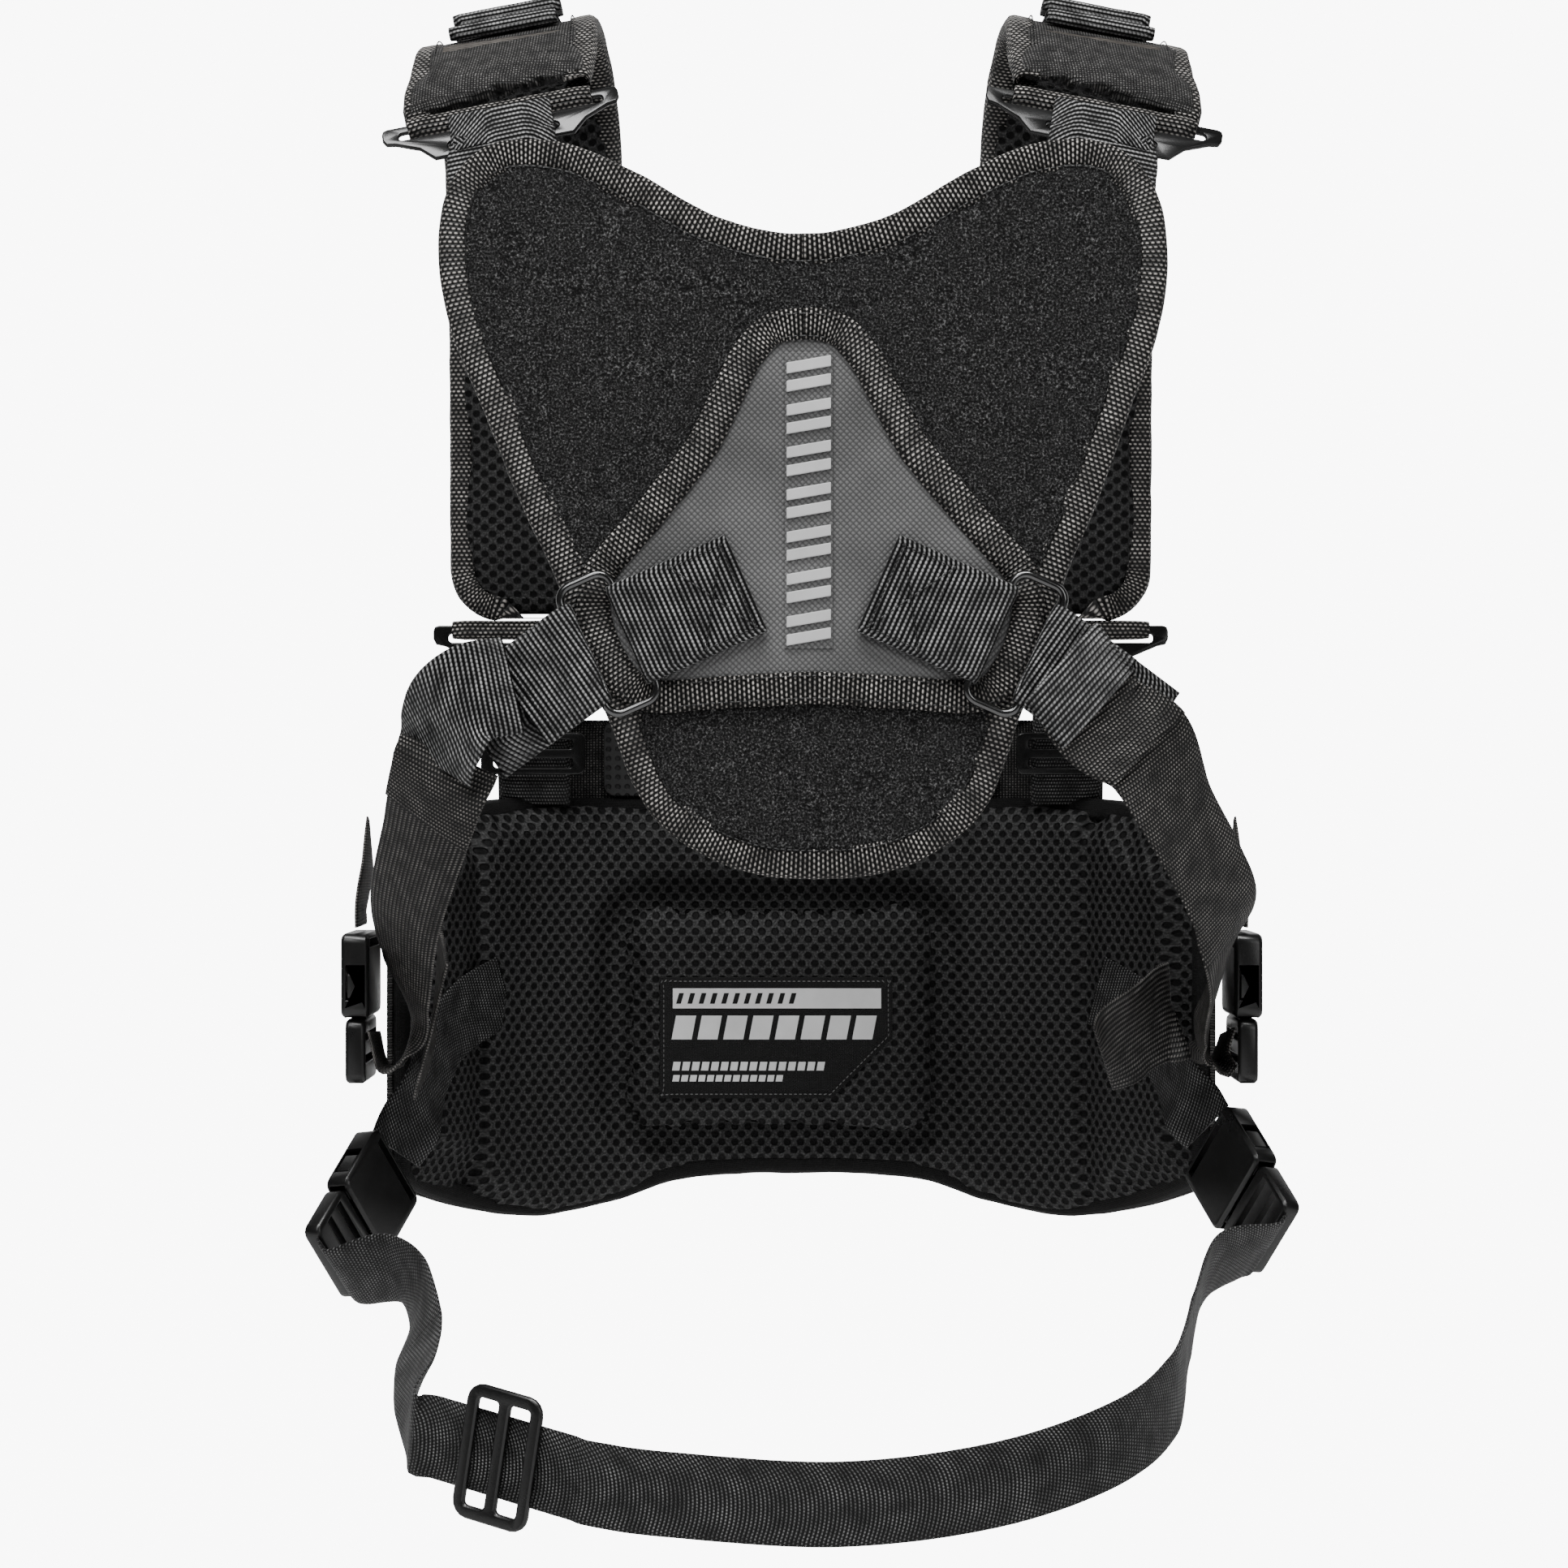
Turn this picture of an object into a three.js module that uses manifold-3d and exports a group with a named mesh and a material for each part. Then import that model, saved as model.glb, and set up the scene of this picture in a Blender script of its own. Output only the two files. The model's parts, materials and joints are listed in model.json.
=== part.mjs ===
// Harness vest for a chest rig: a shield-shaped rear yoke, padded shoulder pieces with metal hook
// plates, side straps and a waist belt with side-release buckles, and a curved padded chest panel.
// Millimetres. +X is to the right as the rear yoke is looked at, +Y is the wearer's front, +Z is up.
// The origin is midway between the two places where the shoulder pads rest on the shoulders.
import * as THREE from "three";
import { mergeVertices } from "three/addons/utils/BufferGeometryUtils.js";
import Module from "manifold-3d";

const wasm = await Module();
wasm.setup();

// Webbing and clearances
const strapWidth = 50;
const beltWidth = 38;
const ply = 1.8;
const seat = 0.4; // between layers that lie on each other
const wrap = 0.5; // between webbing and the bar that it turns round

// Rear yoke: half of its outline, from the middle of the collar round to the foot of the tongue
const yokeHalf = [
  [0, -105], [40, -97], [78, -76], [112, -62], [145, -62], [166, -80], [173, -112], [168, -150],
  [152, -192], [137, -232], [121, -268], [110, -302], [97, -336], [84, -371], [66, -392], [36, -407],
  [0, -411],
];
const yokeBackY = -104;
const yokePadThickness = 6;
const yokeDrape = 7; // how far the foot of the yoke hangs to the right of its collar
const tapeWidth = 15;
const tapeThickness = 2;
const tapeWrap = 3.5;
const loopPileThickness = 1.7;

// Centre patch on the yoke: half of its outline, from its point down to the middle of its hem
const patchHalf = [
  [0, -141], [20, -145], [34, -160], [44, -179], [56, -202], [74, -225], [91, -245], [106, -263],
  [110, -285], [101, -312], [82, -331], [40, -330], [0, -328],
];
const patchTapeWidth = 15;
const patchThickness = 1.3;
const patchTapeThickness = 2.5;
const emblemWidth = 23;
const emblemTop = -162;
const emblemBars = 7;
const emblemPitch = 20;
const emblemBarHeight = 14;
const emblemBacking = 0.8;
const emblemBarThickness = 1.6;

// Wire rings at the yoke's sides and the tabs that hold them
const ringX = 96;
const ringZ = -300;
const ringTilt = THREE.MathUtils.degToRad(24);
const ringLength = strapWidth + 19;
const ringWidth = 30;
const ringWire = 4;
const ringCorner = 9;
const tabLength = 58;
const ringStrapFlap = 38;
const ringStrapReach = 64;
const strapSlope = THREE.MathUtils.degToRad(36);

// Shoulder pads and the metal hook plates at their ends
const padWidth = 92;
const padThickness = 11;
const padRearX = 146;
const padFrontX = 138;
const padSlope = THREE.MathUtils.degToRad(11);
const padLoopThickness = 2.2;
const plateThickness = 2.5;
const plateBar = 4.5;
const plateWidth = padWidth + 24;
const plateNeck = strapWidth + 22;
const plateHeight = 25;
const plateSlot = 4.5;
const plateEar = 11;
const plateLean = THREE.MathUtils.degToRad(35);
const rearBar = [-74, -42]; // Y and Z of the bar that the pad's rear end is rolled round
const frontBar = [102, -285];
const keeperWidth = 54;
const keeperDepth = 22;

// Chest panel: its plan curve from the middle round to a side, and half of its outline
const panelPlan = [
  [0, 128], [70, 128], [105, 126], [135, 114], [160, 95], [180, 71], [192, 50], [196, 39],
];
const panelHalf = [
  [0, -374], [75, -374], [150, -374], [184, -383], [206, -405], [222, -442], [224, -492], [218, -532],
  [201, -564], [176, -584], [138, -595], [100, -589], [68, -578], [30, -574], [0, -574],
];
const panelPadThickness = 14;
const shellThickness = 3;
const shellRise = 44; // how far the shell's middle stands above the padding
const placardWidth = 236;
const placardThickness = 3;
const rowCount = 4;
const rowHeight = 25;
const rowPitch = 38;
const rowThickness = 1.8;
const centrePad = { x: -11, z: -490, width: 178, height: 132, corner: 24, depth: 11 };
const label = { x: -13, z: -500, width: 123, height: 64, cut: 32, thickness: 1 };

// Front straps between the shoulder pads and the chest panel
const frontStrapX = 141;
const adjusterWidth = beltWidth + 17;
const adjusterHeight = 22;
const adjusterZ = -350;

// Side-release buckles: one set of proportions for both webbing widths
const buckleSide = 6; // a buckle is wider than its webbing by this much on each side
const socketLength = 42;
const plugLength = 32;
const buckleThickness = 14;
const buckleWall = 2.4;
const buckleSlot = 4.2;
const buckleFit = 0.5;
const latchArm = 5;
const beltRise = 6; // the right-hand belt buckle sits higher than the middle by this, the left lower

// Waist belt and its slider
const sliderHeight = 62;
const sliderWidth = 40;
const sliderBar = 6;
const sliderThickness = 3.4;
const sliderCorner = 8;
const sliderTravel = 12;

const nylon = { color: 0x17171a, roughness: 0.85, metalness: 0 };
const finishes = {
  nylon,
  pile: { color: 0x0b0b0c, roughness: 1, metalness: 0 },
  tape: { color: 0x26231f, roughness: 0.8, metalness: 0 },
  coated: { color: 0x3d3e42, roughness: 0.55, metalness: 0 },
  emblem: { color: 0x9b9da1, roughness: 0.5, metalness: 0 },
  mesh: { color: 0x0e0e0f, roughness: 0.95, metalness: 0 },
  plastic: { color: 0x131314, roughness: 0.35, metalness: 0 },
  steel: { color: 0x1c1c1e, roughness: 0.35, metalness: 0.9 },
  wire: { color: 0x5c5a58, roughness: 0.22, metalness: 1 },
};

const vest = new THREE.Group();

function add(name, geometry, finish, parent = vest) {
  const mesh = new THREE.Mesh(geometry, new THREE.MeshStandardMaterial(finishes[finish]));
  mesh.name = name;
  parent.add(mesh);
  return mesh;
}

function point(x, y, z) {
  return new THREE.Vector3(x, y, z);
}

// Joining and cutting

function solid(geometry) {
  const bare = geometry.index ? geometry.toNonIndexed() : geometry.clone();
  bare.deleteAttribute("normal");
  bare.deleteAttribute("uv");
  const merged = mergeVertices(bare, 1e-4);
  const mesh = new wasm.Mesh({
    numProp: 3,
    vertProperties: merged.attributes.position.array,
    triVerts: new Uint32Array(merged.index.array),
  });
  return new wasm.Manifold(mesh);
}

function geometryOf(made) {
  const { vertProperties, triVerts } = made.getMesh();
  const geometry = new THREE.BufferGeometry();
  geometry.setAttribute("position", new THREE.BufferAttribute(vertProperties, 3));
  geometry.setIndex(new THREE.BufferAttribute(triVerts, 1));
  return geometry;
}

function joined(...geometries) {
  return geometryOf(geometries.map(solid).reduce((whole, next) => whole.add(next)));
}

function cut(body, ...tools) {
  return geometryOf(tools.map(solid).reduce((whole, tool) => whole.subtract(tool), solid(body)));
}

function shared(a, b) {
  return geometryOf(solid(a).intersect(solid(b)));
}

function block(x, y, z, width, depth, height) {
  return new THREE.BoxGeometry(width, depth, height).translate(x, y, z);
}

// Outlines

function smoothOutline(half, count, shift = () => 0) {
  const left = half.slice(1, -1).reverse();
  const all = [...half, ...left.map(([x, z]) => [-x, z])].reverse();
  const curve = new THREE.CatmullRomCurve3(all.map(([x, z]) => point(x, z, 0)), true);
  const spaced = curve.getSpacedPoints(count).slice(0, count);
  return spaced.map((p) => new THREE.Vector2(p.x + shift(p.y), p.y));
}

// The same closed outline moved inwards by a distance.
function inset(outline, distance) {
  const turn = THREE.ShapeUtils.isClockWise(outline) ? -1 : 1;
  return outline.map((p, i) => {
    const before = outline[(i + outline.length - 1) % outline.length];
    const after = outline[(i + 1) % outline.length];
    const along = after.clone().sub(before).normalize();
    return new THREE.Vector2(p.x - turn * along.y * distance, p.y + turn * along.x * distance);
  });
}

function roundedBox(width, height, corner, x = 0, y = 0, path = new THREE.Shape()) {
  const [w, h] = [width / 2 - corner, height / 2 - corner];
  path.absarc(x + w, y + h, corner, 0, Math.PI / 2);
  path.absarc(x - w, y + h, corner, Math.PI / 2, Math.PI);
  path.absarc(x - w, y - h, corner, Math.PI, 1.5 * Math.PI);
  path.absarc(x + w, y - h, corner, 1.5 * Math.PI, 2 * Math.PI);
  path.closePath();
  return path;
}

// A flat piece that faces the rear: its outline is in X and Z, and it goes from backY towards -Y.
function slab(outline, backY, thickness, hole, options = {}) {
  const shape = outline instanceof THREE.Shape ? outline : new THREE.Shape(outline);
  if (hole) shape.holes.push(new THREE.Path(hole));
  const settings = { depth: thickness, bevelEnabled: false, curveSegments: 3, ...options };
  const geometry = new THREE.ExtrudeGeometry(shape, settings);
  return geometry.rotateX(Math.PI / 2).translate(0, backY, 0);
}

// Webbing

// A strip bent along a path: its width is turned along across, one direction or one per point.
function band(path, across, width, thickness, detail = 1, [from, to] = [0, 1]) {
  const turns = Array.isArray(across) ? across : path.map(() => across);
  const line = new THREE.CatmullRomCurve3(path);
  const turning = new THREE.CatmullRomCurve3(turns);
  const steps = Math.round((path.length - 1) * detail * (to - from));
  const box = new THREE.BoxGeometry(width, thickness, 1, 1, 1, steps);
  const corners = box.attributes.position;
  for (let i = 0; i < corners.count; i++) {
    const t = from + (to - from) * (corners.getZ(i) + 0.5);
    const along = line.getTangent(t);
    const side = turning.getPoint(t);
    side.addScaledVector(along, -side.dot(along)).normalize();
    const face = along.clone().cross(side);
    const place = line.getPoint(t);
    place.addScaledVector(side, corners.getX(i)).addScaledVector(face, corners.getY(i));
    corners.setXYZ(i, place.x, place.y, place.z);
  }
  return box;
}

// Points of an arc round a centre, from one angle to another, in the plane of two directions.
function arc(centre, first, second, radius, from, to, steps) {
  return Array.from({ length: steps + 1 }, (_, i) => {
    const angle = THREE.MathUtils.degToRad(from + ((to - from) * i) / steps);
    const place = centre.clone().addScaledVector(first, radius * Math.cos(angle));
    return place.addScaledVector(second, radius * Math.sin(angle));
  });
}

const behind = point(0, -1, 0);
const wireTurn = ringWire / 2 + wrap + ply / 2;

// Rear yoke

const yokeShift = (z) => (yokeDrape * (yokeHalf[0][1] - z)) / (yokeHalf[0][1] - yokeHalf.at(-1)[1]);
const yokeFrontY = yokeBackY - yokePadThickness - seat;
const patchBackY = yokeFrontY - tapeThickness - seat;
const patchFrontY = patchBackY - patchThickness;
const patchTapeFrontY = patchBackY - patchTapeThickness;

function makeYoke() {
  const edge = smoothOutline(yokeHalf, 64, yokeShift);
  const padEdge = inset(edge, tapeWrap + seat);
  add("yoke_pad", slab(padEdge, yokeBackY, yokePadThickness), "nylon");
  const rim = slab(edge, yokeBackY, yokePadThickness + seat + tapeThickness, inset(edge, tapeWrap));
  const flange = slab(inset(edge, 1), yokeFrontY, tapeThickness, inset(edge, tapeWidth));
  add("yoke_binding", joined(rim, flange), "tape");
  add("yoke_loop_field", slab(inset(edge, tapeWidth + seat), yokeFrontY, loopPileThickness), "pile");
}

function makePatch() {
  const edge = smoothOutline(patchHalf, 48, yokeShift);
  const inner = inset(edge, patchTapeWidth);
  add("patch_binding", slab(edge, patchBackY, patchTapeThickness, inner), "tape");
  add("patch_panel", slab(inset(edge, patchTapeWidth + seat), patchBackY, patchThickness), "coated");
  const length = emblemBars * emblemPitch;
  const middle = emblemTop - length / 2;
  const x = yokeShift(middle);
  const backY = patchFrontY - seat;
  const pieces = [block(x, backY - emblemBacking / 2, middle, emblemWidth, emblemBacking, length)];
  for (let i = 0; i < emblemBars; i++) {
    const z = emblemTop - (i + 0.5) * emblemPitch;
    const [w, h] = [emblemWidth / 2 - 1, emblemBarHeight / 2];
    const corners = [[x - w, z - h], [x + w, z - h + 4], [x + w, z + h], [x - w, z + h - 4]];
    const bar = corners.map(([cx, cz]) => new THREE.Vector2(cx, cz));
    pieces.push(slab(bar, backY - emblemBacking / 2, emblemBarThickness));
  }
  add("emblem_strip", joined(...pieces), "emblem");
}

// Rings, tabs and the straps that leave the rings

const ringY = patchTapeFrontY - seat - ply / 2 - wireTurn;
const ringOffset = (ringWidth - ringWire) / 2;

function ringPlace(side) {
  const outward = point(side * Math.cos(ringTilt), 0, -Math.sin(ringTilt));
  const up = point(side * Math.sin(ringTilt), 0, Math.cos(ringTilt));
  const centre = point(side * ringX + yokeShift(ringZ), ringY, ringZ);
  return { outward, up, centre };
}

function makeRing(name, side) {
  const outside = roundedBox(ringLength, ringWidth, ringCorner);
  const inner = roundedBox(
    ringLength - 2 * ringWire, ringWidth - 2 * ringWire, ringCorner - ringWire, 0, 0, new THREE.Path(),
  );
  outside.holes.push(inner);
  const bevel = ringWire * 0.3;
  const wire = new THREE.ExtrudeGeometry(outside, {
    depth: ringWire - 2 * bevel, bevelThickness: bevel, bevelSize: bevel, bevelOffset: -bevel,
    bevelSegments: 1, curveSegments: 2,
  });
  const { outward, up, centre } = ringPlace(side);
  const normal = up.clone().cross(outward);
  wire.translate(0, 0, bevel - ringWire / 2);
  wire.applyMatrix4(new THREE.Matrix4().makeBasis(up, outward, normal).setPosition(centre));
  add(name, wire, "wire");
}

function makeTab(name, side) {
  const { outward, up, centre } = ringPlace(side);
  const inward = outward.clone().negate();
  const bar = centre.clone().addScaledVector(inward, ringOffset);
  const at = (u, v) => bar.clone().addScaledVector(inward, u).addScaledVector(behind, v);
  const under = -wireTurn;
  const over = under + ply + seat;
  const path = [
    at(tabLength, under), at(tabLength / 2, under),
    ...arc(bar, inward, behind, wireTurn, -90, -270, 6),
    at(8, (wireTurn + over) / 2), at(18, over), at(tabLength / 2 + 6, over), at(tabLength, over),
  ];
  add(name, band(path, up, strapWidth, ply), "nylon");
}

function makeRingStrap(name, side) {
  const { outward, up, centre } = ringPlace(side);
  const bar = centre.clone().addScaledVector(outward, ringOffset);
  const away = point(side * Math.cos(strapSlope), 0, -Math.sin(strapSlope));
  const turned = point(side * Math.sin(strapSlope), 0, Math.cos(strapSlope));
  const at = (u, v) => bar.clone().addScaledVector(away, u).addScaledVector(behind, v);
  const under = -wireTurn;
  const over = under + ply + seat;
  const turn = arc(bar, outward, behind, wireTurn, 90, 270, 6);
  const path = [
    at(ringStrapFlap, over), at(25, over + seat), at(11, wireTurn - seat),
    ...turn, at(12, under), at(30, under), at(48, under - 3), at(ringStrapReach, under - 7),
  ];
  const across = path.map((_, i) => (i > 1 && i < 4 + turn.length ? up : turned));
  add(name, band(path, across, strapWidth, ply), "nylon");
}

// Side-release buckles. Local x is the width, y runs from the socket's rear to the plug's end,
// z is the thickness.

function buckleSizes(webbing) {
  const width = webbing + 2 * buckleSide;
  return { width, slot: webbing + 2, cavity: width - 2 * buckleWall, armX: width / 2 - 9 };
}

function bevelled(shape, thickness, bevel) {
  const geometry = new THREE.ExtrudeGeometry(shape, {
    depth: thickness - 2 * bevel, bevelThickness: bevel, bevelSize: bevel, bevelOffset: -bevel,
    bevelSegments: 1, curveSegments: 2,
  });
  return geometry.translate(0, 0, bevel - thickness / 2);
}

function makeSocket(webbing) {
  const { width, slot, cavity } = buckleSizes(webbing);
  const body = bevelled(roundedBox(width, socketLength, 5, 0, socketLength / 2), buckleThickness, 1.6);
  const inside = buckleThickness - 2 * buckleWall;
  const mouthDepth = socketLength - 11;
  const middle = socketLength - mouthDepth / 2;
  const window = mouthDepth * 0.55;
  return cut(
    body,
    block(0, middle + 1, 0, cavity, mouthDepth + 2, inside),
    block(0, middle - 2, 0, width + 2, window, inside),
    block(0, 5, 0, slot, buckleSlot, buckleThickness + 2),
  );
}

function makePlug(webbing) {
  const { width, slot, cavity } = buckleSizes(webbing);
  const start = socketLength + buckleFit;
  const end = start + plugLength;
  const frame = bevelled(
    roundedBox(width - 3, plugLength, 5, 0, (start + end) / 2), buckleThickness - 4, 1.4,
  );
  const tongue = block(0, start - 8, 0, cavity / 3, 20, buckleThickness - 2 * buckleWall - 2);
  const slots = [9, 20].map((y) => block(0, start + y, 0, slot, buckleSlot, buckleThickness));
  return cut(joined(frame, tongue), ...slots);
}

// A latch arm: its foot is at the plug, and its finger pad fills the socket's side window.
function makeLatch(webbing, hand) {
  const { width, armX } = buckleSizes(webbing);
  const foot = socketLength - buckleFit;
  const shape = new THREE.Shape();
  const outer = width / 2 - 0.3;
  shape.moveTo(hand * (armX - latchArm / 2), foot);
  shape.lineTo(hand * (armX + latchArm / 2), foot);
  shape.lineTo(hand * (armX + latchArm / 2 + 1.5), foot - 9);
  shape.lineTo(hand * outer, foot - 9.5);
  shape.lineTo(hand * outer, foot - 21);
  shape.lineTo(hand * (armX + 1), foot - 26);
  shape.lineTo(hand * (armX - latchArm / 2), foot - 24);
  shape.closePath();
  const thickness = buckleThickness - 2 * buckleWall - 1.4;
  const geometry = new THREE.ExtrudeGeometry(shape, { depth: thickness, bevelEnabled: false });
  return geometry.translate(0, 0, -thickness / 2);
}

// The matrix that stands a buckle at rear, pointing along, with its width turned along wide.
function buckleFrame(rear, along, wide) {
  const y = along.clone().normalize();
  const x = wide.clone().addScaledVector(y, -wide.dot(y)).normalize();
  return new THREE.Matrix4().makeBasis(x, y, x.clone().cross(y)).setPosition(rear);
}

function sideBuckle(side) {
  return buckleFrame(point(side * 221, 5, -440), point(0, 0, -1), point(0, 1, 0));
}

function beltBuckle(side) {
  const rear = point(side * 208.5, 20, -552 + side * beltRise);
  return buckleFrame(rear, point(side * 26, -58, -49), point(side * -0.39, 0.51, -0.77));
}

function makeBuckle(name, side, webbing, frame) {
  const letter = side < 0 ? "L" : "R";
  const place = (part, geometry) => add(`${name}_${part}_${letter}`, geometry.applyMatrix4(frame), "plastic");
  place("socket", makeSocket(webbing));
  place("plug", makePlug(webbing));
  place("latch_a", makeLatch(webbing, 1));
  place("latch_b", makeLatch(webbing, -1));
}

// Long side straps, from the fold below each ring down to the side buckle

const sideStrapRoute = {
  L: {
    path: [
      [-138, -119, -330], [-157, -123, -342], [-171, -113, -364], [-182, -93, -394], [-194, -57, -431],
      [-196, -28, -463], [-194, -8, -484], [-197, -1, -499], [-203, 0, -508], [-210, 1, -506],
      [-214.3, 2, -490],
    ],
    across: [
      [0.59, 0, -0.81], [0.62, -0.1, -0.7], [0.85, -0.3, -0.3], [0.72, -0.69, 0], [0.62, -0.78, 0],
      [0.4, -0.92, 0], [0.1, -1, 0], [0, -1, 0], [0, -1, 0], [0, -1, 0], [0, -1, 0],
    ],
    tail: [[-191, 9, -516], [-187, 4, -500], [-183, -4, -475], [-178, -14, -446]],
    tailAcross: [[0, -1, 0], [0, -1, 0], [0.1, -1, 0], [0.2, -0.98, 0]],
  },
  R: {
    path: [
      [147, -120.5, -331], [163, -119, -350], [180, -103, -381], [197, -84, -410], [206, -68, -431],
      [206, -49, -455], [202, -20, -477], [200, -7, -492], [204, -2, -504], [209, 0, -502],
      [213.8, 2, -490],
    ],
    across: [
      [0.59, 0, 0.81], [0.62, 0.12, 0.76], [0.61, 0.55, 0.5], [0.61, 0.6, 0.5], [0.63, 0.74, 0.24],
      [0.2, 0.9, 0.1], [0, 1, 0], [0, 1, 0], [0, 1, 0], [0, 1, 0], [0, 1, 0],
    ],
    tail: [[186, -2, -480], [180, -10, -481], [165, -21, -490], [149, -27, -502]],
    tailAcross: [[0.2, 0.7, 0.6], [0.4, 0.3, 0.85], [0.5, 0.1, 0.85], [0.62, 0, 0.78]],
  },
};

function makeSideStrap(letter) {
  const { path, across, tail, tailAcross } = sideStrapRoute[letter];
  const points = (list) => list.map(([x, y, z]) => point(x, y, z));
  add(`side_strap_${letter}`, band(points(path), points(across), strapWidth, ply, 3), "nylon");
  add(`side_tail_${letter}`, band(points(tail), points(tailAcross), strapWidth, ply, 3), "nylon");
}

function makeAnchors(side) {
  const letter = side < 0 ? "L" : "R";
  const top = [
    point(side * 218.5, 24, -396), point(side * 219.5, 14, -411), point(side * 221, 5.5, -427),
    point(side * 221, 5, -437),
  ];
  add(`side_anchor_${letter}`, band(top, point(0, 1, 0), strapWidth, ply, 2), "nylon");
  const rise = side * beltRise;
  const low = [
    point(side * 155, 94, -474), point(side * 174.5, 69.5, -486), point(side * 186, 48.5, -504),
    point(side * 195, 33, -528 + rise / 2), point(side * 205.8, 26.2, -546 + rise),
  ];
  const turned = point(side * -0.39, 0.51, -0.77);
  const upright = point(0, 0, -1);
  const across = [upright, upright, upright, upright, turned];
  add(`belt_anchor_${letter}`, band(low, across, beltWidth, ply, 2), "nylon");
}

// Shoulder pads, hook plates and the webbing between them

// A hook plate in its own frame: x along its bars, y up towards the pad, z out of its face. The
// middle of the upper bar is at the origin.
function plateGeometry(width, neck, height, slot) {
  const top = plateBar / 2;
  const shape = new THREE.Shape();
  const [w, n, low] = [width / 2, neck / 2, top - height];
  shape.moveTo(-w + 3, top);
  shape.lineTo(w - 3, top);
  shape.quadraticCurveTo(w, top, w, top - 3);
  shape.lineTo(w, top - plateEar + 4);
  shape.quadraticCurveTo(w, top - plateEar, w - 6, top - plateEar);
  shape.bezierCurveTo(n + 4, top - plateEar, n + 4, low + 3, n - 2, low);
  shape.lineTo(2 - n, low);
  shape.bezierCurveTo(-n - 4, low + 3, -n - 4, top - plateEar, 6 - w, top - plateEar);
  shape.quadraticCurveTo(-w, top - plateEar, -w, top - plateEar + 4);
  shape.lineTo(-w, top - 3);
  shape.quadraticCurveTo(-w, top, 3 - w, top);
  const upperY = -top - plateSlot / 2;
  const lowerY = low + plateBar + plateSlot / 2;
  shape.holes.push(roundedBox(width - 16, plateSlot, 2, 0, upperY, new THREE.Path()));
  shape.holes.push(roundedBox(slot + 4, plateSlot, 2, 0, lowerY, new THREE.Path()));
  return bevelled(shape, plateThickness, 0.5);
}

const plateTurn = Math.hypot(plateBar / 2, plateThickness / 2) + wrap;

// Where a rear plate stands: its bars slope with the shoulder and it leans back with the webbing.
function rearPlate(side) {
  const along = point(Math.cos(padSlope), 0, -side * Math.sin(padSlope));
  const down = point(0, -Math.sin(plateLean), -Math.cos(plateLean));
  down.addScaledVector(along, -down.dot(along)).normalize();
  const origin = point(side * padRearX, rearBar[0], rearBar[1]);
  return { along, down, face: along.clone().cross(down.clone().negate()), origin };
}

function frontPlate(side) {
  const along = point(1, 0, 0);
  const down = point(0, 0, -1);
  const origin = point(side * padFrontX, frontBar[0], frontBar[1]);
  return { along, down, face: along.clone().cross(down.clone().negate()), origin };
}

function plateMatrix({ along, down, face, origin }) {
  return new THREE.Matrix4().makeBasis(along, down.clone().negate(), face).setPosition(origin);
}

// The cloth end of a pad, rolled round the plate's upper bar and open towards the pad.
function padLoop({ along, down, face, origin }) {
  const radius = plateTurn + padLoopThickness / 2;
  const path = arc(origin, down.clone().negate(), face, radius, 24, 336, 12);
  return band(path, along, padWidth - 2, padLoopThickness);
}

const padProfile = [
  [-50, -17], [-28, -1], [0, padThickness / 2], [30, 1], [60, -22], [80, -60], [92, -110], [98, -170],
  [101, -230],
];

function makeShoulderPad(name, side) {
  const rear = rearPlate(side);
  const front = frontPlate(side);
  const reach = plateTurn + 0.3;
  const end = (plate, distance) => plate.origin.clone().addScaledVector(plate.down, -distance);
  const lead = 10; // the pad runs straight for this far into each roll
  const middle = padProfile.map(([y, z]) => {
    const x = THREE.MathUtils.lerp(padRearX, padFrontX, THREE.MathUtils.smoothstep(y, 0, 90));
    return point(side * x, y, z);
  });
  const slope = padProfile.map(([y]) => {
    const angle = padSlope * (1 - THREE.MathUtils.smoothstep(y, 10, 90));
    return point(Math.cos(angle), 0, -side * Math.sin(angle));
  });
  const path = [
    end(rear, reach), end(rear, reach + lead), ...middle, end(front, reach + lead), end(front, reach),
  ];
  const across = [rear.along, rear.along, ...slope, front.along, front.along];
  const body = band(path, across, padWidth, padThickness, 2);
  add(name, joined(body, padLoop(rear), padLoop(front)), "mesh");
}

// A flattened loop of stiff webbing that stands on a pad's crest.
function makeKeeper(name, side) {
  const along = point(Math.cos(padSlope), 0, -side * Math.sin(padSlope));
  const up = point(0, 0, 1).addScaledVector(along, -along.z).normalize();
  const back = along.clone().cross(up).negate();
  const radius = 3;
  const centre = point(side * padRearX, -12, padThickness + radius + 2.2);
  const half = keeperDepth / 2 - radius;
  const path = [
    ...arc(centre.clone().addScaledVector(back, half), back, up, radius, -90, 90, 4),
    ...arc(centre.clone().addScaledVector(back, -half), back, up, radius, 90, 262, 4),
    centre.clone().addScaledVector(back, half - 2.5).addScaledVector(up, -radius + 0.4),
  ];
  add(name, band(path, along, keeperWidth, ply), "nylon");
}

// The webbing that runs from a rear plate's lower bar down behind the yoke's top corner.
function makeRiser(name, side) {
  const { along, down, face, origin } = rearPlate(side);
  const bar = origin.clone().addScaledVector(down, plateHeight - plateBar);
  const radius = plateTurn + ply / 2;
  const turn = arc(bar, down.clone().negate(), face, radius, 60, -110, 6);
  const foot = point(side * 138, yokeBackY + seat + ply / 2 + 0.4, -96);
  const bend = point(side * 140, yokeBackY + 5.5, -76);
  const first = bar.clone().addScaledVector(face, radius - 0.6).addScaledVector(down, 9);
  const across = [along, ...turn.map(() => along), along, point(1, 0, -side * 0.1)];
  add(name, band([first, ...turn, bend, foot], across, strapWidth, ply), "nylon");
}

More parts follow.
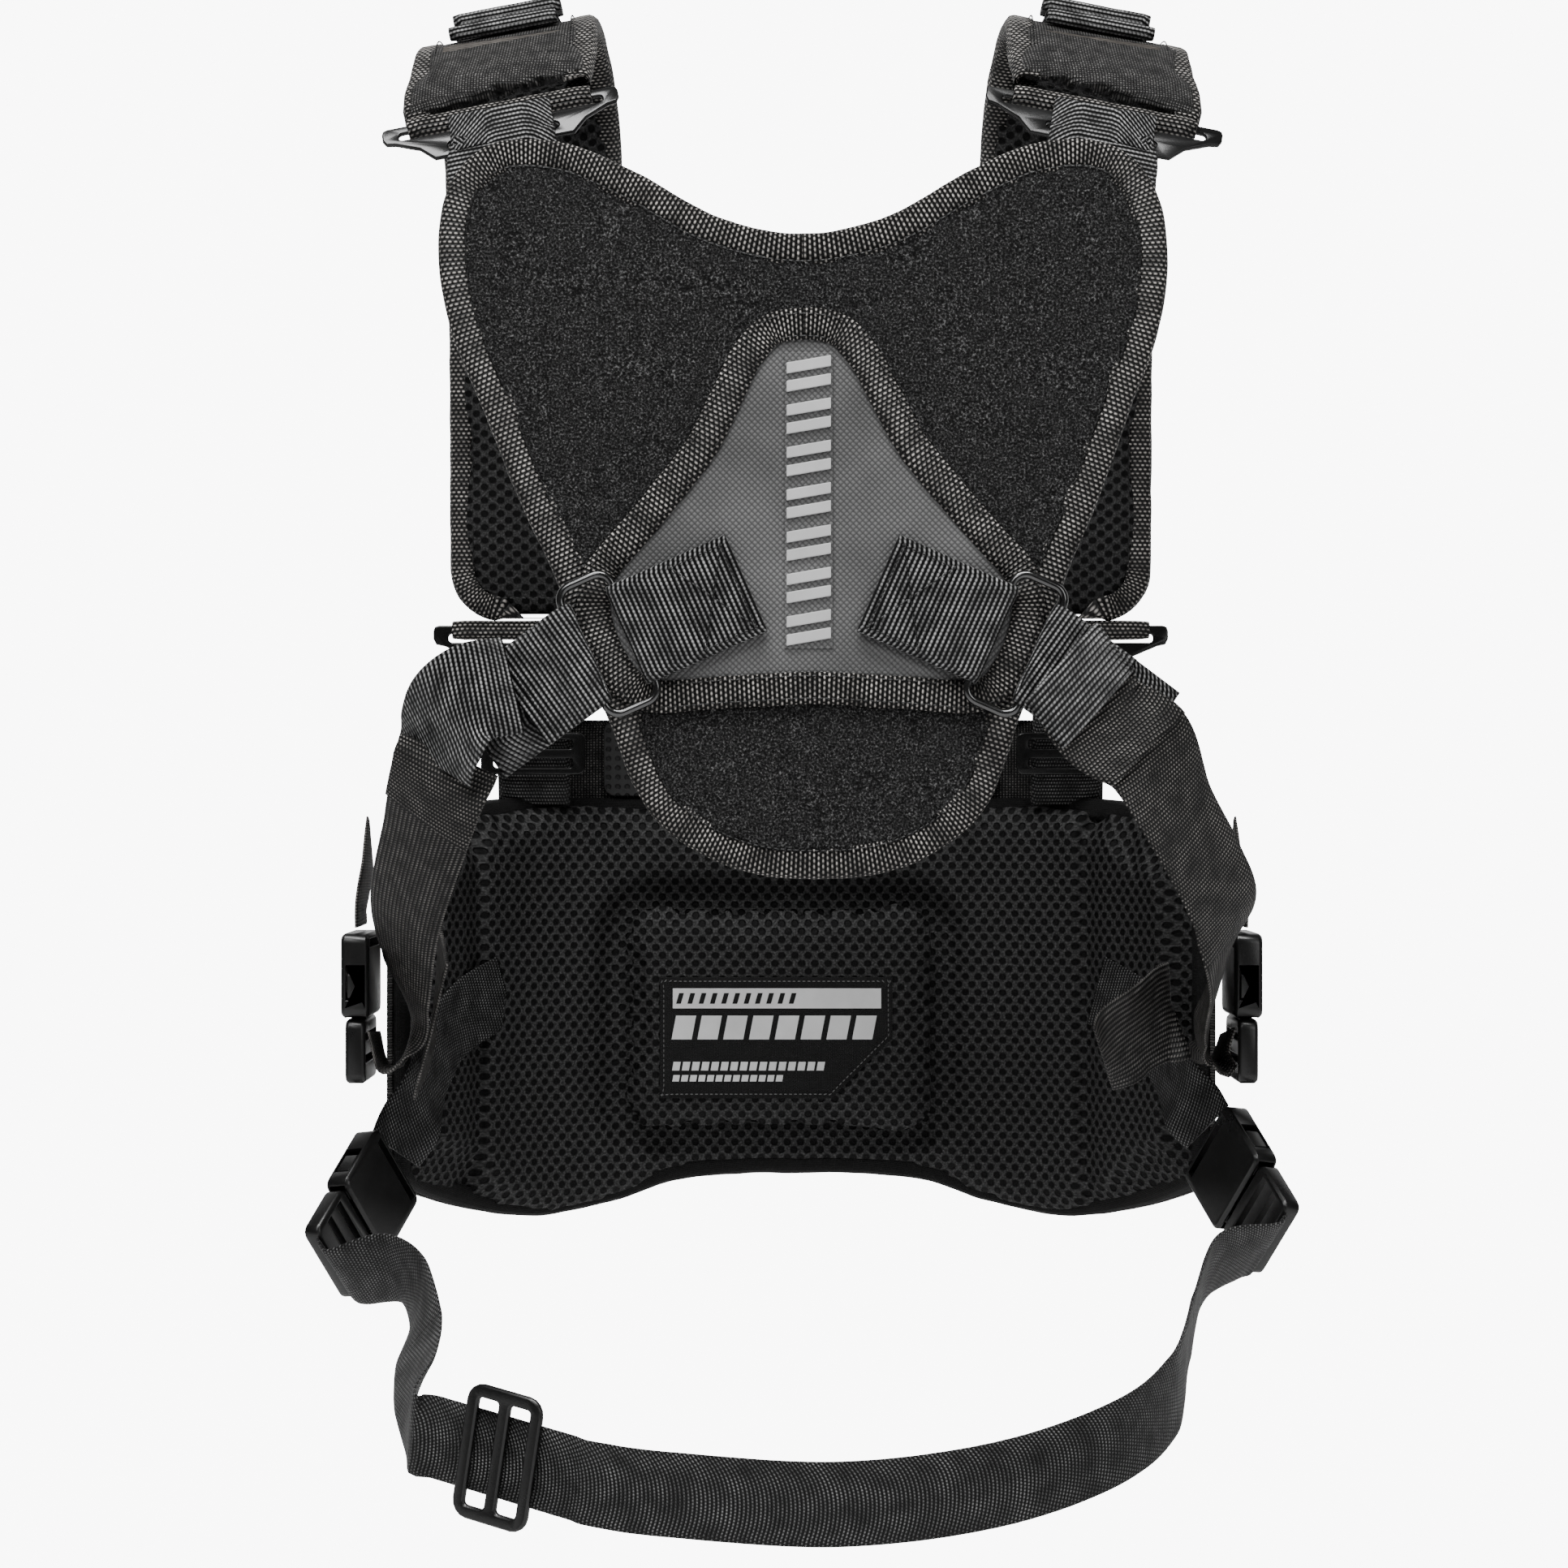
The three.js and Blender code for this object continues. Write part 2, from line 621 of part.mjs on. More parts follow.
function makeFrontStrap(side) {
  const letter = side < 0 ? "L" : "R";
  const { down, origin } = frontPlate(side);
  const barZ = origin.z - plateHeight + plateBar;
  const radius = plateTurn + ply / 2;
  const bar = point(side * (frontStrapX + padFrontX) * 0.5, origin.y, barZ);
  const path = [
    ...arc(bar, down.clone().negate(), behind, radius, 60, -120, 6),
    point(side * frontStrapX, origin.y + 5, barZ - 14),
    point(side * frontStrapX, origin.y + 11, adjusterZ),
    point(side * frontStrapX, origin.y + 17, -371),
  ];
  add(`front_strap_${letter}`, band(path.reverse(), point(1, 0, 0), beltWidth, ply), "nylon");
  const bars = roundedBox(adjusterWidth, adjusterHeight, 4);
  for (const y of [-1, 1]) {
    bars.holes.push(roundedBox(beltWidth + 4, 5, 2, 0, y * 5, new THREE.Path()));
  }
  const plate = bevelled(bars, plateThickness, 0.5).rotateX(Math.PI / 2);
  plate.translate(side * frontStrapX, origin.y + 6.5, adjusterZ);
  add(`front_adjuster_${letter}`, plate, "steel");
}

// Chest panel

// A wall that follows the panel's plan curve, between two distances in front of it.
function panelWall(near, far, low, high) {
  const half = panelPlan.map(([x, y]) => point(x, y, 0));
  const all = [...half.slice(1).reverse().map((p) => point(-p.x, p.y, 0)), ...half];
  const curve = new THREE.CatmullRomCurve3(all);
  const steps = 28;
  const row = (distance) =>
    Array.from({ length: steps + 1 }, (_, i) => {
      const place = curve.getPoint(i / steps);
      const along = curve.getTangent(i / steps);
      return new THREE.Vector2(place.x - along.y * distance, place.y + along.x * distance);
    });
  const shape = new THREE.Shape([...row(near), ...row(far).reverse()]);
  const wall = new THREE.ExtrudeGeometry(shape, { depth: high - low, bevelEnabled: false });
  return wall.translate(0, 0, low);
}

function makePanel() {
  const [low, high] = [-640, -320];
  const edge = smoothOutline(panelHalf, 56);
  const outline = slab(edge, 200, 220);
  add("front_pad", shared(panelWall(0, panelPadThickness, low, high), outline), "mesh");
  const near = panelPadThickness + seat;
  const far = near + shellThickness;
  const top = panelHalf[0][1];
  const rise = block(0, 140, top + shellRise / 2 - 5, placardWidth, 100, shellRise + 10);
  const shell = solid(panelWall(near, far, low, high)).intersect(solid(joined(outline, rise)));
  const rows = panelWall(far - 0.3, far + rowThickness, low, high);
  let whole = shell;
  for (let i = 0; i < rowCount; i++) {
    const strip = block(0, 100, top - 38 - i * rowPitch, 380, 200, rowHeight);
    whole = whole.add(solid(rows).intersect(solid(strip)));
  }
  add("front_shell", geometryOf(whole), "nylon");
  const placardY = panelPlan[2][1] + near - 2 * seat;
  const placardTop = top + shellRise - 2;
  const height = placardTop - top - 4 * seat;
  const placardShape = roundedBox(placardWidth - 26, height, 6, 0, placardTop - height / 2);
  add("placard", slab(placardShape, placardY, placardThickness), "coated");
}

function makeCentrePad() {
  const { x, z, width, height, corner, depth } = centrePad;
  const backY = panelPlan[2][1] - seat - 0.4;
  const bevel = 4;
  const cushion = slab(roundedBox(width, height, corner, x, z), backY, depth - bevel, undefined, {
    bevelEnabled: true, bevelThickness: bevel, bevelSize: bevel, bevelOffset: -bevel, bevelSegments: 2,
  });
  const trimmed = cut(cushion, block(x, backY + 10, z, width + 20, 20, height + 20));
  add("centre_pad", trimmed, "mesh");
  const face = backY - depth - seat;
  const [w, h] = [label.width / 2, label.height / 2];
  const corners = [[-w, -h], [w - label.cut, -h], [w, label.cut - h], [w, h], [-w, h]];
  const outline = corners.map(([u, v]) => new THREE.Vector2(label.x + u, label.z + v));
  add("label", slab(outline, face, label.thickness), "nylon");
}

// Waist belt

const beltRoute = {
  left: [
    [-222, -46, -606], [-198, -66, -601], [-184, -90, -610], [-181, -120, -628], [-180, -152, -645],
  ],
  leftAcross: [
    [-0.39, -0.51, 0.77], [-0.2, -0.3, 0.93], [0.1, 0, 1], [0.45, 0.2, 0.85], [0.4, 0.2, 0.88],
  ],
  right: [
    [-60, -236, -681], [15, -238, -685], [85, -229, -678], [140, -203, -664], [170, -165, -648],
    [183, -120, -623], [196, -82, -599], [222, -49, -594],
  ],
  rightAcross: [
    [0, 0, 1], [0, 0, 1], [0, 0, 1], [0, 0, 1], [0, 0, 1], [0.1, -0.1, 1], [0.2, -0.3, 0.93],
    [0.39, -0.51, 0.77],
  ],
};
const sliderPlace = point(-136, -207, -669);
const beltRun = point(0.865, -0.4725, -0.171).normalize();
const runHalf = sliderWidth / 2 + sliderTravel + 3; // straight this far each side of the slider
const runLead = 14;
const beltEndSteps = 2; // route points that belong to each end, which follows its plug
const beltSlit = 0.02; // half of the gap between an end and the rest, as a part of one step

function makeBelt() {
  const points = (list) => list.map(([x, y, z]) => point(x, y, z));
  const up = point(0, 0, 1);
  const stops = [-runHalf - runLead, -runHalf, 0, runHalf, runHalf + runLead];
  const run = stops.map((u) => sliderPlace.clone().addScaledVector(beltRun, u));
  const path = [...points(beltRoute.left), ...run, ...points(beltRoute.right)];
  const across = [
    ...points(beltRoute.leftAcross), ...run.map(() => up), ...points(beltRoute.rightAcross),
  ];
  const last = path.length - 1;
  const [endL, endR] = [beltEndSteps / last, 1 - beltEndSteps / last];
  const slit = beltSlit / last;
  const length = (name, span) => add(name, band(path, across, beltWidth, ply, 2, span), "nylon");
  length("belt_webbing", [endL + slit, endR - slit]);
  length("belt_end_L", [0, endL - slit]);
  length("belt_end_R", [endR + slit, 1]);
  const frame = roundedBox(sliderWidth, sliderHeight, sliderCorner);
  const window = (sliderWidth - 3 * sliderBar) / 2;
  for (const x of [-1, 1]) {
    const middle = (x * (window + sliderBar)) / 2;
    frame.holes.push(
      roundedBox(window, sliderHeight - 2 * sliderBar, 2, middle, 0, new THREE.Path()),
    );
  }
  const plate = bevelled(frame, sliderThickness, 0.9);
  const upright = up.clone().addScaledVector(beltRun, -beltRun.z).normalize();
  const out = beltRun.clone().cross(upright);
  const lift = ply / 2 + sliderThickness / 2 + wrap;
  const centre = sliderPlace.clone().addScaledVector(out, lift);
  plate.applyMatrix4(new THREE.Matrix4().makeBasis(beltRun, upright, out).setPosition(centre));
  add("belt_slider", plate, "plastic");
}

makeYoke();
makePatch();
makePanel();
makeCentrePad();
makeBelt();
for (const side of [-1, 1]) {
  const letter = side < 0 ? "L" : "R";
  makeRing(`ring_${letter}`, side);
  makeTab(`ring_tab_${letter}`, side);
  makeRingStrap(`ring_strap_${letter}`, side);
  makeSideStrap(letter);
  makeAnchors(side);
  makeBuckle("side", side, strapWidth, sideBuckle(side));
  makeBuckle("belt", side, beltWidth, beltBuckle(side));
  makeShoulderPad(`shoulder_pad_${letter}`, side);
  makeKeeper(`pad_keeper_${letter}`, side);
  const rear = plateGeometry(plateWidth, plateNeck, plateHeight, strapWidth);
  add(`rear_hook_${letter}`, rear.applyMatrix4(plateMatrix(rearPlate(side))), "steel");
  const front = plateGeometry(plateWidth - 6, plateNeck - 12, plateHeight, beltWidth);
  add(`front_hook_${letter}`, front.applyMatrix4(plateMatrix(frontPlate(side))), "steel");
  makeRiser(`yoke_riser_${letter}`, side);
  makeFrontStrap(side);
}

export default vest;
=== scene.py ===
import json
import math

import bmesh
import bpy
import numpy as np
from mathutils import Matrix, Vector, geometry, noise

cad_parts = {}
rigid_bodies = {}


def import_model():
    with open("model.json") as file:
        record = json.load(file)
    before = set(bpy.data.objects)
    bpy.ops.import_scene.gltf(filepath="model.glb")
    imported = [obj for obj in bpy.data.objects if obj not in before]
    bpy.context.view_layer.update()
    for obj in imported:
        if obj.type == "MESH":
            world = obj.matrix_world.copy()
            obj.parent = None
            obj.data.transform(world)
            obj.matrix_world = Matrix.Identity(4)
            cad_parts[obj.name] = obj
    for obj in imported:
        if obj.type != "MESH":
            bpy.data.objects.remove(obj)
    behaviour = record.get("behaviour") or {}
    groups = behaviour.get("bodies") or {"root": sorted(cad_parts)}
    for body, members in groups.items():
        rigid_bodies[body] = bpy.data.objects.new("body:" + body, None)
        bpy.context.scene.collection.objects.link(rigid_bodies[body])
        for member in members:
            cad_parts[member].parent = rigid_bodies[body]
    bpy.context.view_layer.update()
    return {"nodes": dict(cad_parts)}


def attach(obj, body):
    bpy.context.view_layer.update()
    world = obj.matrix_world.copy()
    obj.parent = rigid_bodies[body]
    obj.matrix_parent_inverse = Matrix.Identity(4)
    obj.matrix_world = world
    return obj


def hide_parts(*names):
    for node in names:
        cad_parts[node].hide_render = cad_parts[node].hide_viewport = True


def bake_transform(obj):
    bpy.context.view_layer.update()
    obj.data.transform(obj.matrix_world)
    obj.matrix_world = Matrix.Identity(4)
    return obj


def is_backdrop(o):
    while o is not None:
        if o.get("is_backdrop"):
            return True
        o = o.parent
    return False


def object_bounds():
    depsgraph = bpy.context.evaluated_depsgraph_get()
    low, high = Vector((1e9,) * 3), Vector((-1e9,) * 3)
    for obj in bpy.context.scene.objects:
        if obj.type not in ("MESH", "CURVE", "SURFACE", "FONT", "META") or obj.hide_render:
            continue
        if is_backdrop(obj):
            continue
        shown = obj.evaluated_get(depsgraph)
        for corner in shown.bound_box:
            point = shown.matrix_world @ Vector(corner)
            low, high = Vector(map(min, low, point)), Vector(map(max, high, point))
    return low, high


for old in list(bpy.data.objects):
    bpy.data.objects.remove(old)
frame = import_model()
mm = 0.001

# the camera first, so that every look is taken through the same eye
cameraSettings = {"place": (-0.0088, -2.06, -0.366), "lens": 94.47}
camera = bpy.data.objects.new("camera", bpy.data.cameras.new("camera"))
camera.location = cameraSettings["place"]
camera.rotation_euler = (math.pi / 2, 0, 0)
camera.data.lens = cameraSettings["lens"]
camera.data.sensor_width = 36
bpy.context.scene.collection.objects.link(camera)
bpy.context.scene.camera = camera


# ---- small node helpers: each finds its tree from the sockets that it joins ----
def put(value, socket):
    if isinstance(value, bpy.types.NodeSocket):
        socket.id_data.links.new(value, socket)
    else:
        socket.default_value = value


def treeOf(values):
    return next(v.id_data for v in values if isinstance(v, bpy.types.NodeSocket))


def calc(operation, *values):
    node = treeOf(values).nodes.new("ShaderNodeMath")
    node.operation = operation
    for value, socket in zip(values, node.inputs):
        put(value, socket)
    return node.outputs[0]


def times(a, b):
    return calc("MULTIPLY", a, b)


def plus(a, b):
    return calc("ADD", a, b)


def ratio(a, b):
    return calc("DIVIDE", a, b)


# the height of a row of round ridges, one for each whole step of the value
def ridges(value):
    return calc("ABSOLUTE", calc("SINE", times(value, math.pi)))


def farOf(x, y):
    return calc("SQRT", plus(times(x, x), times(y, y)))


def shade(factor, dark, light):
    node = factor.id_data.nodes.new("ShaderNodeMix")
    node.data_type = "RGBA"
    for value, slot in ((factor, 0), (dark, 6), (light, 7)):
        put(value, node.inputs[slot])
    return node.outputs[2]


def speckle(where, scale, detail=2.0, rough=0.5):
    node = where.id_data.nodes.new("ShaderNodeTexNoise")
    put(where, node.inputs["Vector"])
    for label, value in (("Scale", scale), ("Detail", detail), ("Roughness", rough)):
        node.inputs[label].default_value = value
    return node.outputs["Fac"]


def spread(value, low, high):
    node = value.id_data.nodes.new("ShaderNodeMapRange")
    for start, slot in ((value, 0), (low, 1), (high, 2)):
        put(start, node.inputs[slot])
    return node.outputs[0]


def grey(level, warm=0.0):
    return (level * (1 + warm), level, level * (1 - warm), 1)


def clothCoordinates(tree):
    uv = tree.nodes.new("ShaderNodeUVMap")
    uv.uv_map = "cloth"
    split = tree.nodes.new("ShaderNodeSeparateXYZ")
    tree.links.new(uv.outputs[0], split.inputs[0])
    return uv.outputs[0], split.outputs[0], split.outputs[1]


def objectCoordinates(tree):
    node = tree.nodes.new("ShaderNodeTexCoord")
    split = tree.nodes.new("ShaderNodeSeparateXYZ")
    tree.links.new(node.outputs["Object"], split.inputs[0])
    return node.outputs["Object"], split.outputs


def newFinish(name, rough=0.6, metal=0.0, sheen=0.0, level=0.32):
    material = bpy.data.materials.new(name)
    material.use_nodes = True
    tree = material.node_tree
    shader = tree.nodes["Principled BSDF"]
    shader.inputs["Roughness"].default_value = rough
    shader.inputs["Metallic"].default_value = metal
    shader.inputs["Specular IOR Level"].default_value = level
    shader.inputs["Sheen Weight"].default_value = sheen
    shader.inputs["Sheen Roughness"].default_value = 0.4
    return material, tree, shader


def raise_(shader, height, depth):
    bump = height.id_data.nodes.new("ShaderNodeBump")
    for label, value in (("Strength", 1.0), ("Distance", depth), ("Height", height)):
        put(value, bump.inputs[label])
    put(bump.outputs[0], shader.inputs["Normal"])


# the colour and the relief that every weave ends in: painted highlights on the thread crests, dark cloth with
# painted shade between them, a little uneven at random
def woven(material, shader, where, height, patchScale, low, share, darkAndHighlightTones, warm, depth):
    uneven = spread(speckle(where, patchScale, 3.0), 0.3, 0.7)
    # lit: painted highlight rising on each thread crest; below the low value the colour stays at the dark tone as
    # painted shade between the threads
    lit = times(spread(height, low, 1.0), plus(times(uneven, share), 1 - share))
    lit = calc("POWER", lit, 1.6)
    put(shade(lit, grey(darkAndHighlightTones[0], warm), grey(darkAndHighlightTones[1], warm)), shader.inputs["Base Color"])
    raise_(shader, height, depth)
    return material


# rows of short floats across a webbing: row pitch along it, float pitch across it
def rowWeave(name, row, dash, dark, light, warm=0.0, rough=0.5, depth=0.0006, fill=0.55, beadShare=0.6):
    material, tree, shader = newFinish(name, rough)
    where, u, v = clothCoordinates(tree)
    line = ratio(u, row)
    offset = times(calc("FLOOR", line), 0.5)
    wander = times(speckle(where, 300.0, 1.0), 0.15)
    across = plus(plus(ratio(v, dash), offset), wander)
    ridge = ridges(line)
    bead = ridges(across)
    height = times(ridge, plus(times(bead, beadShare), 1 - beadShare))
    return woven(material, shader, where, height, 90.0, fill, 0.7, (dark, light), warm, depth)


# ribs along a webbing, each a row of slanted threads
def ropeWeave(name, rib, thread, slant, dark, light, warm=0.0, rough=0.55, depth=0.0006):
    material, tree, shader = newFinish(name, rough)
    where, u, v = clothCoordinates(tree)
    line = ratio(v, rib)
    ridge = ridges(line)
    lean = plus(ratio(u, thread), times(calc("FRACT", line), slant))
    strand = ridges(lean)
    height = times(ridge, plus(times(strand, 0.55), 0.45))
    return woven(material, shader, where, height, 120.0, 0.45, 0.6, (dark, light), warm, depth)


def basketWeave(name, pitch, dark, light, warm=0.0, rough=0.6, depth=0.0005):
    material, tree, shader = newFinish(name, rough)
    where, u, v = clothCoordinates(tree)
    a = ratio(u, pitch)
    b = ratio(v, pitch)
    check = calc("MODULO", plus(calc("FLOOR", a), calc("FLOOR", b)), 2.0)
    check = calc("ABSOLUTE", check)
    first = ridges(a)
    second = ridges(b)
    over = times(times(first, check), calc("POWER", second, 0.5))
    under = times(times(second, calc("SUBTRACT", 1.0, check)), calc("POWER", first, 0.5))
    height = plus(over, times(under, 0.8))
    return woven(material, shader, where, height, 150.0, 0.35, 0.7, (dark, light), warm, depth)


# knitted spacer mesh: staggered oval holes in a soft knit, the holes painted near black as shade, with painted
# glints on the knit between them
def holedKnit(name, pitchU, pitchV, dark, light, hole, depth=0.0016):
    material, tree, shader = newFinish(name, 0.7, level=0.2)
    where, u, v = clothCoordinates(tree)
    a = ratio(u, pitchU)
    b = ratio(v, pitchV)
    shift = times(calc("FLOOR", b), 0.5)
    x = calc("SUBTRACT", calc("FRACT", plus(a, shift)), 0.5)
    y = calc("SUBTRACT", calc("FRACT", b), 0.5)
    x = ratio(times(x, pitchU), hole[0])
    y = ratio(times(y, pitchV), hole[1])
    far = farOf(x, y)
    # open_ is 0 in a hole and 1 on the knit: it sets the bump, and in the colour it paints the holes near black as
    # shade
    open_ = spread(far, 0.75, 1.15)
    knit = speckle(where, 900.0, 2.0)
    # glint: painted thread glints, sparse bright specks on the knit only
    glint = times(calc("POWER", knit, 3.0), open_)
    lit = plus(times(glint, 2.2), times(open_, 0.12))
    put(shade(lit, grey(dark), grey(light)), shader.inputs["Base Color"])
    height = plus(open_, times(knit, 0.25))
    raise_(shader, height, depth)
    return material


# loop pile: a black pile with sparse bright specks gathered in random clumps, painted glints on the fibres
def looped(name, dark, light):
    material, tree, shader = newFinish(name, 0.85, level=0.15)
    where, _ = objectCoordinates(tree)
    fine = speckle(where, 900.0, 3.0, 0.7)
    clump = speckle(where, 160.0, 3.0, 0.6)
    lit = times(calc("POWER", fine, 8.0), times(clump, 40.0))
    put(shade(lit, grey(dark), grey(light)), shader.inputs["Base Color"])
    raise_(shader, plus(fine, times(clump, 0.7)), 0.0016)
    return material


# coated twill: the colour is lighter on the twill crests, a painted highlight, and varies in large soft random
# clouds, painted light and shade standing in for light falling unevenly on the patch
def coatedTwill(name, dark, light):
    material, tree, shader = newFinish(name, 0.40, level=0.45)
    where, axes = objectCoordinates(tree)
    a = times(plus(axes[0], axes[2]), math.pi / 0.0030)
    b = times(calc("SUBTRACT", axes[0], axes[2]), math.pi / 0.0030)
    grain = times(calc("ABSOLUTE", calc("SINE", a)), calc("ABSOLUTE", calc("SINE", b)))
    cloud = spread(speckle(where, 11.0, 3.0), 0.3, 0.75)
    lit = times(plus(times(grain, 0.7), 0.3), plus(times(cloud, 0.8), 0.2))
    put(shade(lit, grey(dark), grey(light)), shader.inputs["Base Color"])
    raise_(shader, grain, 0.00025)
    return material


def moulded(name, level, rough, grain=0.00006, metal=0.0, scratch=0.0):
    material, tree, shader = newFinish(name, rough, metal, level=0.5)
    where, _ = objectCoordinates(tree)
    fine = speckle(where, 1400.0, 3.0, 0.6)
    smear = speckle(where, 40.0, 4.0, 0.6)
    put(shade(smear, grey(level * 0.8), grey(level * 1.25 + scratch)), shader.inputs["Base Color"])
    put(plus(times(smear, 0.18), rough - 0.09), shader.inputs["Roughness"])
    raise_(shader, fine, grain)
    return material


def dotted(name):
    material, tree, shader = newFinish(name, 0.55)
    _, axes = objectCoordinates(tree)
    a = ratio(axes[0], 0.005)
    b = ratio(axes[2], 0.005)
    x = calc("SUBTRACT", calc("FRACT", a), 0.5)
    y = calc("SUBTRACT", calc("FRACT", b), 0.5)
    far = farOf(x, y)
    dot = spread(far, 0.32, 0.2)
    put(shade(dot, grey(0.03), grey(0.012)), shader.inputs["Base Color"])
    raise_(shader, calc("SUBTRACT", 1.0, dot), 0.0008)
    return material


finishes = {
    "rows": rowWeave("rowWebbing", 0.0025, 0.0020, 0.002, 0.62, 0.0, 0.45, 0.0009, 0.5, 0.3),
    "strap": rowWeave("strapWebbing", 0.0021, 0.0017, 0.002, 0.42, 0.06, 0.55, 0.0007, 0.55),
    "rope": ropeWeave("ropeWebbing", 0.0026, 0.0016, 0.9, 0.002, 0.26, 0.05),
    "belt": rowWeave("beltWebbing", 0.0019, 0.0015, 0.002, 0.30, 0.0, 0.5, 0.0006, 0.5),
    "tape": rowWeave("edgeTape", 0.0022, 0.0027, 0.002, 0.85, 0.06, 0.5, 0.0010, 0.5),
    "cordura": basketWeave("packCloth", 0.0014, 0.002, 0.26, 0.03),
    "lining": basketWeave("liningCloth", 0.0007, 0.003, 0.02),
    "satin": rowWeave("grosgrain", 0.0012, 0.0060, 0.030, 0.16, 0.12, 0.45, 0.0003, 0.2),
    "knit": holedKnit("spacerMesh", 0.0070, 0.0042, 0.0004, 0.09, (0.0019, 0.0020)),
    "pile": looped("loopPile", 0.0002, 0.22),
    "coated": coatedTwill("coatedCloth", 0.012, 0.30),
    "emblem": moulded("softEmblem", 0.62, 0.42, 0.00003),
    "plastic": moulded("satinPlastic", 0.006, 0.30),
    "steel": moulded("coatedSteel", 0.005, 0.22, 0.00002),
    "wire": moulded("nickelWire", 0.12, 0.18, 0.00001, 1.0),
    "thread": moulded("blackThread", 0.004, 0.5, 0.00003),
    "paleThread": moulded("paleThread", 0.12, 0.5, 0.00003),
    "label": basketWeave("labelCloth", 0.0008, 0.003, 0.02),
    "print": moulded("palePrint", 0.75, 0.55, 0.00003),
    "dotted": dotted("dottedRubber"),
}
print("finishes made:", len(finishes))


# ---- mesh helpers ----
def makePiece(name, verts, faces, finish, uvs=None, smooth=True):
    mesh = bpy.data.meshes.new(name)
    mesh.from_pydata([tuple(v) for v in verts], [], faces)
    if uvs is not None:
        layer = mesh.uv_layers.new(name="cloth")
        index = np.empty(len(mesh.loops), np.int32)
        mesh.loops.foreach_get("vertex_index", index)
        layer.data.foreach_set("uv", np.asarray(uvs, np.float32)[index].ravel())
    mesh.update()
    if smooth:
        mesh.polygons.foreach_set("use_smooth", [True] * len(mesh.polygons))
    piece = bpy.data.objects.new(name, mesh)
    bpy.context.scene.collection.objects.link(piece)
    piece.data.materials.append(finishes[finish])
    return piece


def outwards(piece):
    made = bmesh.new()
    made.from_mesh(piece.data)
    bmesh.ops.recalc_face_normals(made, faces=made.faces)
    made.to_mesh(piece.data)
    made.free()
    return piece


def flat(a):
    return np.asarray(a, float)


def unit(rows):
    rows = np.asarray(rows, float)
    return rows / np.maximum(np.linalg.norm(rows, axis=-1, keepdims=True), 1e-12)


def resample(rows, step, closed=False, fine=24):
    rows = np.asarray(rows, float)
    if closed:
        padded = np.vstack([rows[-1:], rows, rows[:2]])
    else:
        padded = np.vstack([2 * rows[0] - rows[1], rows, 2 * rows[-1] - rows[-2]])
    out = []
    for i in range(1, len(padded) - 2):
        p0, p1, p2, p3 = padded[i - 1], padded[i], padded[i + 1], padded[i + 2]
        for k in range(fine):
            t = k / fine
            cubic = (3 * p1 - p0 - 3 * p2 + p3) * t ** 3
            out.append(0.5 * (2 * p1 + (p2 - p0) * t + (2 * p0 - 5 * p1 + 4 * p2 - p3) * t * t + cubic))
    out.append(padded[-2])
    out = np.array(out)
    size = np.linalg.norm(np.diff(out[:, :3], axis=0), axis=1)
    length = np.concatenate([[0], np.cumsum(size)])
    count = max(2, int(round(length[-1] / step)))
    marks = np.linspace(0, length[-1], count + 1)
    if closed:
        marks = marks[:-1]
    return np.array([np.interp(marks, length, out[:, c]) for c in range(out.shape[1])]).T, marks


# a strip of webbing along a route; span cuts a part of the same strip
def webbing(name, route, across, width, thickness, finish, step=2.0, bow=0.0, span=(0, 1), swell=0.18,
            wave=0.25, lift=0.0):
    route = np.asarray(route, float)
    across = np.asarray(across, float)
    if across.ndim == 1:
        across = np.tile(across, (len(route), 1))
    rows, marks = resample(np.hstack([route, across]), step)
    place, side = rows[:, :3], rows[:, 3:]
    along = unit(np.gradient(place, axis=0))
    side = unit(side - (side * along).sum(1, keepdims=True) * along)
    face = np.cross(along, side)
    first, last = int(round(span[0] * (len(place) - 1))), int(round(span[1] * (len(place) - 1)))
    half, t = width / 2, thickness / 2
    lanes = np.linspace(-1, 1, 15)
    top = [(v * half, t * (1 + swell * math.exp(-((1 - abs(v)) * half / 1.2) ** 2))) for v in lanes]
    top[0] = (-half + 0.35 * t, t * 0.55)
    top[-1] = (half - 0.35 * t, t * 0.55)
    loop = [(-half, 0)] + top + [(half, 0)] + [(v, -h) for v, h in reversed(top)]
    verts, uvs = [], []
    lane = flat([[side[i] * v + face[i] * h for v, h in loop] for i in range(len(place))]) + place[:, None]
    gone = np.vstack([np.zeros(len(loop)), np.cumsum(np.linalg.norm(np.diff(lane, axis=0), axis=2), axis=0)])
    for i in range(first, last + 1):
        for k, (v, h) in enumerate(loop):
            ripple = wave * noise.noise(Vector((marks[i] * 0.05, v * 0.06, len(name) * 3.1)))
            height = h + lift + bow * (1 - (v / half) ** 2) + ripple
            verts.append((place[i] + side[i] * v + face[i] * height) * mm)
            uvs.append((gone[i][k] * mm, v * mm))
    n = len(loop)
    faces = []
    for i in range(last - first):
        for k in range(n):
            a, b = i * n + k, i * n + (k + 1) % n
            faces.append((a, b, b + n, a + n))
    for base, turn in ((0, 1), ((last - first) * n, -1)):
        ring = [base + k for k in range(n)]
        faces.append(tuple(ring[::-1] if turn > 0 else ring))
    return outwards(makePiece(name, verts, faces, finish, uvs))


